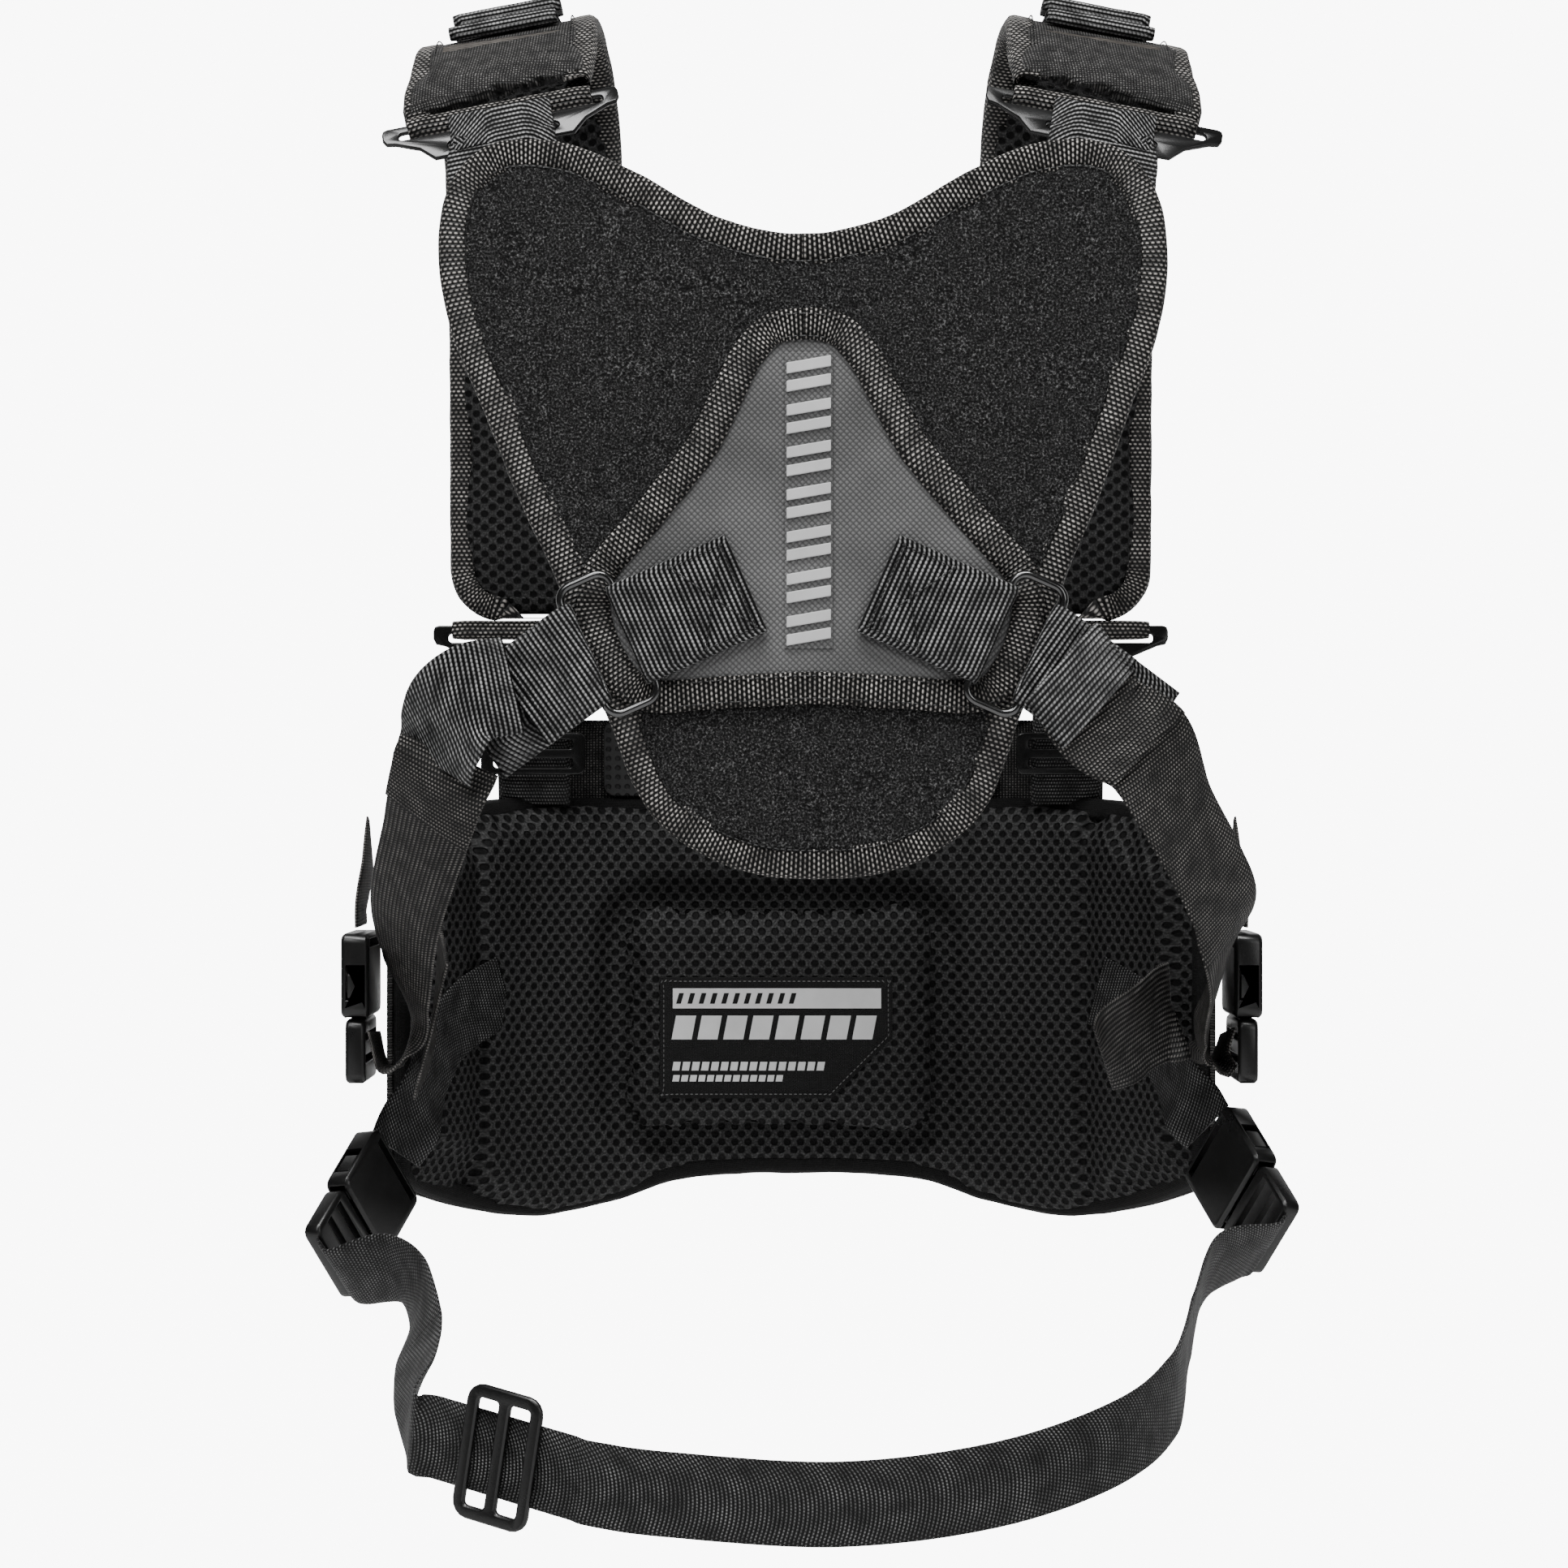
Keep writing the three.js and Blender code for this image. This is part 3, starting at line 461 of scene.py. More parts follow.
# a tape folded over an edge: the edge line, the way out of the piece and the way its face looks
def foldedTape(name, edge, out, look, half, reach, finish="tape", closed=True, thick=1.2, back=None,
               pucker=0.35):
    edge, out, look = (np.asarray(a, float) for a in (edge, out, look))
    back = reach if back is None else back
    shape = [(-reach, half), (-reach * 0.6, half * 1.06), (-2, half * 1.05), (0.3, half * 0.86),
             (1.6, half * 0.35), (1.9, 0)]
    shape += [(1.6, -half * 0.35), (0.3, -half * 0.86), (-2, -half * 1.05), (-back * 0.6, -half * 1.06),
              (-back, -half)]
    shape = np.array(shape)
    way = unit(np.gradient(shape, axis=0))
    inside = shape + np.stack([way[:, 1], -way[:, 0]], 1) * thick
    ring = np.vstack([shape, inside[::-1]])
    arc = np.concatenate([[0], np.cumsum(np.linalg.norm(np.diff(shape, axis=0), axis=1))])
    lanes = np.concatenate([arc, arc[::-1]])
    size = np.linalg.norm(np.diff(np.vstack([edge, edge[:1]]), axis=0), axis=1)
    marks = np.concatenate([[0], np.cumsum(size)])
    verts, uvs = [], []
    n, rows = len(ring), len(edge)
    for i in range(rows + (1 if closed else 0)):
        j = i % rows
        for (a, b), lane in zip(ring, lanes):
            crumple = pucker * noise.noise(Vector((edge[j][0] * 0.09, edge[j][2] * 0.09, a * 0.12 + b)))
            aside = a + crumple * (1 if a > -2 else 0.3)
            at = edge[j] + out[j] * aside + look[j] * (b + crumple * np.sign(b) * 0.6)
            verts.append(at * mm)
            uvs.append((marks[i] * mm, lane * mm))
    faces = []
    for i in range(rows if closed else rows - 1):
        for k in range(n):
            a, b = i * n + k, i * n + (k + 1) % n
            faces.append((a, b, b + n, a + n))
    if not closed:
        faces.append(tuple(range(n)))
        faces.append(tuple(reversed([(rows - 1) * n + k for k in range(n)])))
    return outwards(makePiece(name, verts, faces, finish, uvs))


def outlineOf(half, count, shift):
    left = [(-x, z) for x, z in reversed(half[1:-1])]
    rows, _ = resample([(x, z, 0) for x, z in list(half) + left], 4.0, closed=True)
    size = np.linalg.norm(np.diff(np.vstack([rows, rows[:1]]), axis=0), axis=1)
    marks = np.concatenate([[0], np.cumsum(size)])
    spots = np.linspace(0, marks[-1], count + 1)[:-1]
    around = np.vstack([rows, rows[:1]])
    x = np.interp(spots, marks, around[:, 0])
    z = np.interp(spots, marks, around[:, 1])
    return np.stack([x + shift(z), z], 1)


def outwardOf(outline):
    along = unit(np.roll(outline, -1, 0) - np.roll(outline, 1, 0))
    normal = np.stack([along[:, 1], -along[:, 0]], 1)
    area = np.sum(outline[:, 0] * np.roll(outline[:, 1], -1) - np.roll(outline[:, 0], -1) * outline[:, 1])
    return normal if area > 0 else -normal


# ---- geometry nodes: a row of stitches along a line ----
def stitchTree():
    tree = bpy.data.node_groups.new("stitchRow", "GeometryNodeTree")
    face = tree.interface
    face.new_socket("line", in_out="INPUT", socket_type="NodeSocketGeometry")
    for label, value in (("pitch", 0.003), ("length", 0.0022), ("radius", 0.0004)):
        face.new_socket(label, in_out="INPUT", socket_type="NodeSocketFloat").default_value = value
    face.new_socket("finish", in_out="INPUT", socket_type="NodeSocketMaterial")
    face.new_socket("row", in_out="OUTPUT", socket_type="NodeSocketGeometry")
    start, end = tree.nodes.new("NodeGroupInput"), tree.nodes.new("NodeGroupOutput")
    dots = tree.nodes.new("GeometryNodeCurveToPoints")
    dots.mode = "LENGTH"
    bead = tree.nodes.new("GeometryNodeMeshUVSphere")
    bead.inputs["Segments"].default_value = 6
    bead.inputs["Rings"].default_value = 5
    bead.inputs["Radius"].default_value = 1.0
    size = tree.nodes.new("ShaderNodeCombineXYZ")
    half = tree.nodes.new("ShaderNodeMath")
    half.operation = "MULTIPLY"
    half.inputs[1].default_value = 0.5
    shape = tree.nodes.new("GeometryNodeTransform")
    place = tree.nodes.new("GeometryNodeInstanceOnPoints")
    real = tree.nodes.new("GeometryNodeRealizeInstances")
    paint = tree.nodes.new("GeometryNodeSetMaterial")
    join = tree.links.new
    join(start.outputs["line"], dots.inputs["Curve"])
    join(start.outputs["pitch"], dots.inputs["Length"])
    join(start.outputs["length"], half.inputs[0])
    join(start.outputs["radius"], size.inputs[0])
    join(start.outputs["radius"], size.inputs[1])
    join(half.outputs[0], size.inputs[2])
    join(bead.outputs["Mesh"], shape.inputs["Geometry"])
    join(size.outputs[0], shape.inputs["Scale"])
    join(dots.outputs["Points"], place.inputs["Points"])
    join(dots.outputs["Rotation"], place.inputs["Rotation"])
    join(shape.outputs["Geometry"], place.inputs["Instance"])
    join(place.outputs["Instances"], real.inputs["Geometry"])
    join(real.outputs["Geometry"], paint.inputs["Geometry"])
    join(start.outputs["finish"], paint.inputs["Material"])
    join(paint.outputs["Geometry"], end.inputs["row"])
    return tree


stitchRow = stitchTree()


def settled(name, source, tree, values):
    change = source.modifiers.new("nodes", "NODES")
    change.node_group = tree
    sockets = {s.name: s.identifier for s in tree.interface.items_tree if s.in_out == "INPUT"}
    for label, value in values.items():
        change[sockets[label]] = value
    bpy.context.view_layer.update()
    shown = source.evaluated_get(bpy.context.evaluated_depsgraph_get())
    mesh = bpy.data.meshes.new_from_object(shown)
    mesh.name = name
    piece = bpy.data.objects.new(name, mesh)
    bpy.context.scene.collection.objects.link(piece)
    bpy.data.objects.remove(source)
    return piece


def stitches(name, lines, body, finish="thread", pitch=3.0, length=2.2, radius=0.38):
    curve = bpy.data.curves.new(name + "Line", "CURVE")
    curve.dimensions = "3D"
    for line in lines:
        spline = curve.splines.new("POLY")
        spline.points.add(len(line) - 1)
        for point, at in zip(spline.points, line):
            point.co = (at[0] * mm, at[1] * mm, at[2] * mm, 1)
    source = bpy.data.objects.new(name + "Line", curve)
    bpy.context.scene.collection.objects.link(source)
    values = {"pitch": pitch * mm, "length": length * mm, "radius": radius * mm, "finish": finishes[finish]}
    piece = settled(name, source, stitchRow, values)
    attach(piece, body)
    return piece


def finished(piece, body, slot, *nodes, padded=None, bend=None):
    if nodes:
        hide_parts(*nodes)
    if bend:
        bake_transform(piece)
    else:
        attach(piece, body)
    return piece


# a merged and bevelled copy of a CAD solid, for moulded and stamped pieces
def smoothed(name, node, body, slot, finish, bevel=0.5, segments=2):
    piece = frame["nodes"][node].copy()
    piece.data = frame["nodes"][node].data.copy()
    piece.name = piece.data.name = name
    piece.parent = None
    piece.matrix_world = Matrix.Identity(4)
    for key in list(piece.keys()):
        del piece[key]
    piece.hide_render = piece.hide_viewport = False
    if piece.name not in bpy.context.scene.collection.objects:
        bpy.context.scene.collection.objects.link(piece)
    made = bmesh.new()
    made.from_mesh(piece.data)
    bmesh.ops.remove_doubles(made, verts=made.verts, dist=1e-5)
    bmesh.ops.dissolve_limit(made, angle_limit=math.radians(3), verts=made.verts, edges=made.edges)
    made.to_mesh(piece.data)
    made.free()
    piece.data.materials.clear()
    piece.data.materials.append(finishes[finish])
    for face in piece.data.polygons:
        face.use_smooth = True
        face.material_index = 0
    round_ = piece.modifiers.new("edges", "BEVEL")
    round_.width = bevel * mm
    round_.segments = segments
    round_.limit_method = "ANGLE"
    round_.angle_limit = math.radians(35)
    round_.harden_normals = True
    return finished(piece, body, slot, node)


# cloth simulation: a closed form swells a little, and no point moves further than the cap
def puffed(piece, cell, cap, pressure=4.0, frames=20):
    remesh = piece.modifiers.new("cells", "REMESH")
    remesh.mode = "VOXEL"
    remesh.voxel_size = cell * mm
    bpy.context.view_layer.objects.active = piece
    with bpy.context.temp_override(object=piece, active_object=piece, selected_objects=[piece]):
        bpy.ops.object.modifier_apply(modifier="cells")
    count = len(piece.data.vertices)
    rest = np.empty(count * 3)
    piece.data.vertices.foreach_get("co", rest)
    cloth = piece.modifiers.new("air", "CLOTH")
    cloth.settings.use_pressure = True
    cloth.settings.uniform_pressure_force = pressure
    cloth.settings.effector_weights.gravity = 0
    cloth.settings.quality = 4
    cloth.settings.tension_stiffness = 25
    cloth.settings.bending_stiffness = 1.0
    cloth.collision_settings.use_collision = False
    scene = bpy.context.scene
    for number in range(1, frames + 1):
        scene.frame_set(number)
    shown = piece.evaluated_get(bpy.context.evaluated_depsgraph_get())
    now = np.empty(count * 3)
    shown.data.vertices.foreach_get("co", now)
    piece.modifiers.remove(cloth)
    scene.frame_set(1)
    move = (now - rest).reshape(-1, 3)
    size = np.linalg.norm(move, axis=1, keepdims=True)
    move *= np.minimum(1, cap * mm / np.maximum(size, 1e-9))
    piece.data.vertices.foreach_set("co", (rest.reshape(-1, 3) + move).ravel())
    piece.data.update()
    made = bmesh.new()
    made.from_mesh(piece.data)
    bmesh.ops.subdivide_edges(made, edges=made.edges, cuts=1, use_grid_fill=True, smooth=1.0)
    made.to_mesh(piece.data)
    made.free()
    piece.data.polygons.foreach_set("use_smooth", [True] * len(piece.data.polygons))
    return piece

# points of an arc round a centre, in the plane of two directions
def arcPoints(centre, first, second, radius, start, stop, count):
    angles = np.radians(np.linspace(start, stop, count + 1))
    return [flat(centre) + flat(first) * radius * math.cos(a) + flat(second) * radius * math.sin(a) for a in angles]


# a closed solid between two faces given over one flat outline
def sheetSolid(name, outline, spacing, faceA, faceB, finish, seed=3):
    chance = np.random.default_rng(seed)
    low, high = outline.min(0), outline.max(0)
    xs, zs = np.meshgrid(np.arange(low[0], high[0], spacing), np.arange(low[1], high[1], spacing))
    grid = np.stack([xs.ravel(), zs.ravel()], 1) + chance.uniform(-0.2, 0.2, (xs.size, 2)) * spacing
    near = np.min(np.linalg.norm(grid[:, None] - outline[None, ::4], axis=2), axis=1)
    grid = grid[near > spacing * 0.6]
    count = len(outline)
    edges = [(i, (i + 1) % count) for i in range(count)]
    points = [Vector(p) for p in outline] + [Vector(p) for p in grid]
    spots, _, tris, source, _, _ = geometry.delaunay_2d_cdt(points, edges, [], 1, 1e-4)
    border = {}
    for i, made in enumerate(source):
        for s in made:
            if s < count:
                border[s] = i
    at = flat([tuple(p) for p in spots])
    n = len(at)
    verts = np.vstack([faceA(at[:, 0], at[:, 1]), faceB(at[:, 0], at[:, 1])]) * mm
    faces = [tuple(t) for t in tris] + [tuple(n + k for k in reversed(t)) for t in tris]
    for i in range(count):
        a, b = border[i], border[(i + 1) % count]
        faces.append((b, a, a + n, b + n))
    return outwards(makePiece(name, verts, faces, finish, np.vstack([at, at]) * mm))


def level(y):
    return lambda x, z: np.stack([x, np.full_like(x, y), z], 1)


def inset(outline, distance):
    return outline - outwardOf(outline) * distance


# new cloth coordinates for a piece, worked out from where each vertex is
def mapped(piece, rule):
    mesh = piece.data
    layer = mesh.uv_layers.get("cloth") or mesh.uv_layers.new(name="cloth")
    at = np.empty(len(mesh.vertices) * 3)
    mesh.vertices.foreach_get("co", at)
    uv = rule(at.reshape(-1, 3) / mm) * mm
    index = np.empty(len(mesh.loops), np.int32)
    mesh.loops.foreach_get("vertex_index", index)
    layer.data.foreach_set("uv", uv[index].astype(np.float32).ravel())


def moved(piece, rule):
    at = np.empty(len(piece.data.vertices) * 3)
    piece.data.vertices.foreach_get("co", at)
    piece.data.vertices.foreach_set("co", (rule(at.reshape(-1, 3) / mm) * mm).ravel())
    piece.data.update()


# ---- yoke ----
yoke = {
    "half": [(0, -105), (40, -97), (78, -76), (112, -62), (145, -62), (166, -80), (173, -112), (168, -150),
             (152, -192), (137, -232), (121, -268), (110, -302), (97, -336), (84, -371), (66, -392), (36,
                     -407), (0, -411)],
    "count": 620, "front": -110.4, "tape": 15, "pile": -112.1, "seam": -112.5,
    "bindingY": -108.1, "bindingHalf": 3.9, "overhang": 1.8, "tuck": 2.5, "padFront": -109.9, "padBack": -102.6,
}


def drape(z):
    return 7 * (-105 - z) / 306


yokeEdge = outlineOf(yoke["half"], yoke["count"], drape)


def rim(outline, y):
    return np.stack([outline[:, 0], np.full(len(outline), y), outline[:, 1]], 1)


def tapeRound(name, outline, middle, half, reach, distance, **more):
    edge = rim(inset(outline, distance), middle)
    way = outwardOf(outline)
    out = np.stack([way[:, 0], np.zeros(len(way)), way[:, 1]], 1)
    look = np.tile([0.0, -1.0, 0.0], (len(way), 1))
    return foldedTape(name, edge, out, look, half, reach, **more)


piece = tapeRound("yokeBinding", yokeEdge, yoke["bindingY"], yoke["bindingHalf"],
                  yoke["tape"] - yoke["overhang"], yoke["overhang"])
finished(piece, "yoke", "tape", "yoke_binding")
lines = [rim(inset(yokeEdge, yoke["tape"] - 1.6), yoke["seam"])]
stitches("yokeBindingStitch", lines, "yoke", "thread", 3.2, 2.4, 0.4)


def soft(x, z, scale=0.03, seed=0.0):
    return np.array([noise.noise(Vector((a * scale, b * scale, seed))) for a, b in zip(x, z)])


def pileFace(x, z):
    return np.stack([x, yoke["pile"] + 0.5 * soft(x, z, 0.05) + 0.3 * soft(x, z, 0.2, 4.0), z], 1)


piece = sheetSolid("yokePile", inset(yokeEdge, yoke["tape"] - yoke["tuck"]), 3.0, pileFace,
                   level(yoke["front"] + 0.3), "pile")
finished(piece, "yoke", "pile", "yoke_loop_field")

patch = {
    "half": [(0, -141), (20, -145), (34, -160), (44, -179), (56, -202), (74, -225), (91, -245), (106, -263),
             (110, -285), (101, -312), (82, -331), (40, -330), (0, -328)],
    "count": 420, "tape": 15, "face": -114.1, "seam": -115.8, "swell": 0.7,
}
patchEdge = outlineOf(patch["half"], patch["count"], drape)
piece = tapeRound("patchBinding", patchEdge, patch["face"], 1.35, patch["tape"] - 1.6, 1.6, thick=0.5,
                  pucker=0.45)
finished(piece, "yoke", "tape", "patch_binding")
stitches("patchBindingStitch", [rim(inset(patchEdge, patch["tape"] - 1.9), patch["seam"]),
                                rim(inset(patchEdge, 2.6), patch["seam"])], "yoke", "thread", 3.0, 2.2, 0.36)


def panelFace(x, z):
    return np.stack([x, patch["face"] - patch["swell"] * soft(x, z, 0.022, 2.0), z], 1)


piece = sheetSolid("patchPanel", inset(patchEdge, patch["tape"] - yoke["tuck"]), 3.0, panelFace,
                   level(-112.9),
                   "coated")
finished(piece, "yoke", "coated", "patch_panel")
emblem = {"x": 2.9, "top": -162, "count": 7, "pitch": 20, "wide": 21, "stroke": 5.2, "gap": 3.4, "rise": 3.6}


def roundedBars(name, shapes, near, far, finish, edge=0.3):
    made = bmesh.new()
    for shape in shapes:
        ends = [[made.verts.new((x * mm, y * mm, z * mm)) for x, z in shape] for y in (near, far)]
        made.faces.new(ends[0])
        made.faces.new(ends[1][::-1])
        for i in range(len(shape)):
            j = (i + 1) % len(shape)
            made.faces.new((ends[0][i], ends[0][j], ends[1][j], ends[1][i]))
    bmesh.ops.recalc_face_normals(made, faces=made.faces)
    if edge:
        bmesh.ops.bevel(made, geom=made.edges[:], offset=edge * mm, segments=2, affect="EDGES", profile=0.6)
    mesh = bpy.data.meshes.new(name)
    made.to_mesh(mesh)
    made.free()
    piece = bpy.data.objects.new(name, mesh)
    bpy.context.scene.collection.objects.link(piece)
    mesh.materials.append(finishes[finish])
    return piece


def slanted(x, z, wide, high, rise=0.0, lean=0.0):
    w, h = wide / 2, high / 2
    return [(x - w - lean, z - h - rise / 2), (x + w - lean, z - h + rise / 2),
            (x + w + lean, z + h + rise / 2), (x - w + lean, z + h - rise / 2)]


shapes = []
for i in range(emblem["count"]):
    z = emblem["top"] - (i + 0.5) * emblem["pitch"]
    step = (emblem["stroke"] + emblem["gap"]) / 2
    for hand in (-1, 1):
        shapes.append(slanted(emblem["x"], z + hand * step, emblem["wide"], emblem["stroke"], emblem["rise"]))
middle = emblem["top"] - emblem["count"] * emblem["pitch"] / 2
piece = roundedBars("emblemBacking", [slanted(emblem["x"], middle, 23, 140)], -114.4, -115.1, "coated", 0.2)
finished(piece, "yoke", "emblem", "emblem_strip")
finished(roundedBars("emblemBars", shapes, -115.0, -116.5, "emblem", 0.45), "yoke", "emblem")
print("yoke faces made")


padSettings = {"yokeCell": 3.2, "shoulderCell": 4.0, "panelCell": 4.6, "centreCell": 4.0}
piece = sheetSolid("yokePad", inset(yokeEdge, 4.4), 5.0, level(-109.6), level(-104.9), "lining")
piece = puffed(piece, padSettings["yokeCell"], 5.0, 3.0)
moved(piece, lambda p: np.stack([p[:, 0], np.clip(p[:, 1], yoke["padFront"], yoke["padBack"]), p[:, 2]], 1))
mapped(piece, lambda p: p[:, [0, 2]])
finished(piece, "yoke", "nylon", "yoke_pad", padded=0.5)
print("yoke pad made")

# ---- rings, tabs and ring straps ----
ringSet = {"x": 96, "z": -300, "y": -120.25, "tilt": 24, "length": 69, "width": 30, "wire": 4, "corner": 9,
           "tab": 58, "turn": 3.4, "slope": 36, "flap": 38, "reach": 64, "ply": 1.8, "seat": 0.4}
behind = flat([0, -1, 0])
letters = {-1: "L", 1: "R"}


def ringPlace(side):
    t = math.radians(ringSet["tilt"])
    outward = flat([side * math.cos(t), 0, -math.sin(t)])
    up = flat([side * math.sin(t), 0, math.cos(t)])
    return outward, up, flat([side * ringSet["x"] + drape(ringSet["z"]), ringSet["y"], ringSet["z"]])


def ringLine(half, reach, corner):
    line = []
    for cx, cy, start in ((1, 1, 0), (-1, 1, 90), (-1, -1, 180), (1, -1, 270)):
        for a in np.radians(np.linspace(start, start + 90, 9)):
            line.append((cx * (half - corner) + corner * math.cos(a),
                         cy * (reach - corner) + corner * math.sin(a)))
    return line


def tube(name, line, radius, finish, sides=16, closed=True):
    line = flat(line)
    if closed:
        along = unit(np.roll(line, -1, 0) - np.roll(line, 1, 0))
    else:
        along = unit(np.gradient(line, axis=0))
    first = np.tile([0.0, -1.0, 0.0], (len(line), 1))
    first = unit(first - (first * along).sum(1, keepdims=True) * along)
    second = np.cross(along, first)
    verts = []
    for i in range(len(line)):
        for a in np.linspace(0, 2 * math.pi, sides, endpoint=False):
            verts.append((line[i] + (first[i] * math.cos(a) + second[i] * math.sin(a)) * radius) * mm)
    faces = []
    n = len(line)
    for i in range(n if closed else n - 1):
        j = (i + 1) % n
        for k in range(sides):
            m = (k + 1) % sides
            faces.append((i * sides + k, i * sides + m, j * sides + m, j * sides + k))
    if not closed:
        faces.append(tuple(range(sides)))
        faces.append(tuple(reversed([(n - 1) * sides + k for k in range(sides)])))
    return outwards(makePiece(name, verts, faces, finish))


def boxStitch(place, along, across, width, length, inset_=4.0):
    w, h = width / 2 - inset_, length / 2
    corner = [place + along * a * h + across * b * w for a, b in ((-1, -1), (1, -1), (1, 1), (-1, 1))]
    loops = [[corner[i], corner[(i + 1) % 4]] for i in range(4)]
    return loops + [[corner[0], corner[2]], [corner[1], corner[3]]]


for side, letter in letters.items():
    outward, up, centre = ringPlace(side)
    offset = (ringSet["width"] - ringSet["wire"]) / 2
    half, reach = ringSet["length"] / 2 - 2, ringSet["width"] / 2 - 2
    line = [centre + up * a + outward * b for a, b in ringLine(half, reach, ringSet["corner"] - 2)]
    piece = tube("ringWire" + letter, line, ringSet["wire"] / 2, "wire")
    finished(piece, "ring_" + letter, "wire", "ring_" + letter)

    bar = centre - outward * offset
    turn, ply, seat = ringSet["turn"], ringSet["ply"], ringSet["seat"]
    under, over = -turn, -turn + ply + seat

    def at(u, v):
        return bar - outward * u + behind * v

    tab = ringSet["tab"]
    route = [at(tab, under), at(tab / 2, under)] + arcPoints(bar, -outward, behind, turn, -90, -270, 8)
    route += [at(8, (turn + over) / 2), at(18, over), at(tab / 2 + 6, over), at(tab, over)]
    piece = webbing("ringTab" + letter, route, up, 50, ply, "rows", 1.6, wave=0.4)
    finished(piece, "yoke", "nylon", "ring_tab_" + letter)
    lines = boxStitch(at(tab - 17, over + 1.5), -outward, up, 50, 26)
    stitches("ringTabStitch" + letter, lines, "yoke", "thread", 2.6, 2.1, 0.5)

    slope = math.radians(ringSet["slope"])
    away = flat([side * math.cos(slope), 0, -math.sin(slope)])
    turnedUp = flat([side * math.sin(slope), 0, math.cos(slope)])
    bar2 = centre + outward * offset

    def on(u, v):
        return bar2 + away * u + behind * v

    arcs = arcPoints(bar2, outward, behind, turn, 90, 270, 8)
    route = [on(ringSet["flap"], over), on(25, over + seat), on(11, turn - seat)] + arcs
    route += [on(12, under), on(30, under), on(48, under - 3), on(ringSet["reach"], under - 7)]
    across = [up if 1 < i < 4 + len(arcs) else turnedUp for i in range(len(route))]
    piece = webbing("ringStrap" + letter, route, across, 50, ply, "rows", 1.6, wave=0.5)
    finished(piece, "ring_" + letter, "nylon", "ring_strap_" + letter)
    seam = [[on(ringSet["flap"] - d, over + 1.5) + turnedUp * b for b in (-21, 21)] for d in (3, 6)]
    stitches("ringStrapStitch" + letter, seam, "ring_" + letter, "thread", 2.4, 1.9, 0.45)
print("rings and tabs made")

# ---- long side straps, tails and anchors ----
sideRoute = {
    "L": {
        "path": [(-138, -119, -330), (-157, -123, -342), (-171, -113, -364), (-182, -93, -394),
                 (-194, -57, -431),
                 (-196, -28, -463), (-194, -8, -484), (-197, -1, -499), (-203, 0, -508), (-210, 1,
                         -506), (-214.3, 2, -490)],
        "across": [(0.59, 0, -0.81), (0.62, -0.1, -0.7), (0.85, -0.3, -0.3), (0.72, -0.69, 0),
                   (0.62, -0.78, 0),
                   (0.4, -0.92, 0), (0.1, -1, 0), (0, -1, 0), (0, -1, 0), (0, -1, 0), (0, -1, 0)],
        "tail": [(-191, 9, -516), (-187, 4, -500), (-183, -4, -475), (-178, -14, -446)],
        "tailAcross": [(0, -1, 0), (0, -1, 0), (0.1, -1, 0), (0.2, -0.98, 0)],
    },
    "R": {
        "path": [(147, -120.5, -331), (163, -119, -350), (180, -103, -381), (197, -84, -410),
                 (206, -68, -431),
                 (206, -49, -455), (202, -20, -477), (200, -7, -492), (204, -2, -504), (209, 0,
                         -502), (213.8, 2, -490)],
        "across": [(0.59, 0, 0.81), (0.62, 0.12, 0.76), (0.61, 0.55, 0.5), (0.61, 0.6, 0.5),
                   (0.63, 0.74, 0.24),
                   (0.2, 0.9, 0.1), (0, 1, 0), (0, 1, 0), (0, 1, 0), (0, 1, 0), (0, 1, 0)],
        "tail": [(186, -2, -480), (180, -10, -481), (165, -21, -490), (149, -27, -502)],
        "tailAcross": [(0.2, 0.7, 0.6), (0.4, 0.3, 0.85), (0.5, 0.1, 0.85), (0.62, 0, 0.78)],
    },
}
sideBlend = {"upper": ((0, 0, -345), (0, 0, -425)), "lower": ((0, 0, -455), (0, 0, -492)), "cut": 0.6}
folds = {
    "L": {"route": [(-136.5, -125.2, -319.5), (-143, -129.5, -320.5), (-154, -134, -323),
                    (-164, -134.5, -331), (-170, -130, -344), (-173.5, -123, -356)],
          "across": (0.42, 0, -0.91), "start": [(-166, -122.5, -352), (-172, -119, -366)],
          "startAcross": [(0.66, 0, -0.75), (0.76, -0.1, -0.6)], "skip": 3, "hem": 0.17, "width": 47},
    "R": {"middle": (130, -126.5, -320), "axis": (0.56, 0.06, -0.83), "long": 29,
          "across": (0.67, 0, 0.745), "start": [(133, -124.5, -325), (143, -123.5, -338)],
          "startAcross": [(0.70, 0, 0.72), (0.68, 0.05, 0.73)], "skip": 1, "hem": 0.15, "width": 50},
}
def turned(piece):
    layer = piece.data.uv_layers["cloth"]
    uv = np.empty(len(piece.data.loops) * 2, np.float32)
    layer.data.foreach_get("uv", uv)
    layer.data.foreach_set("uv", uv.reshape(-1, 2)[:, ::-1].ravel())
    return piece


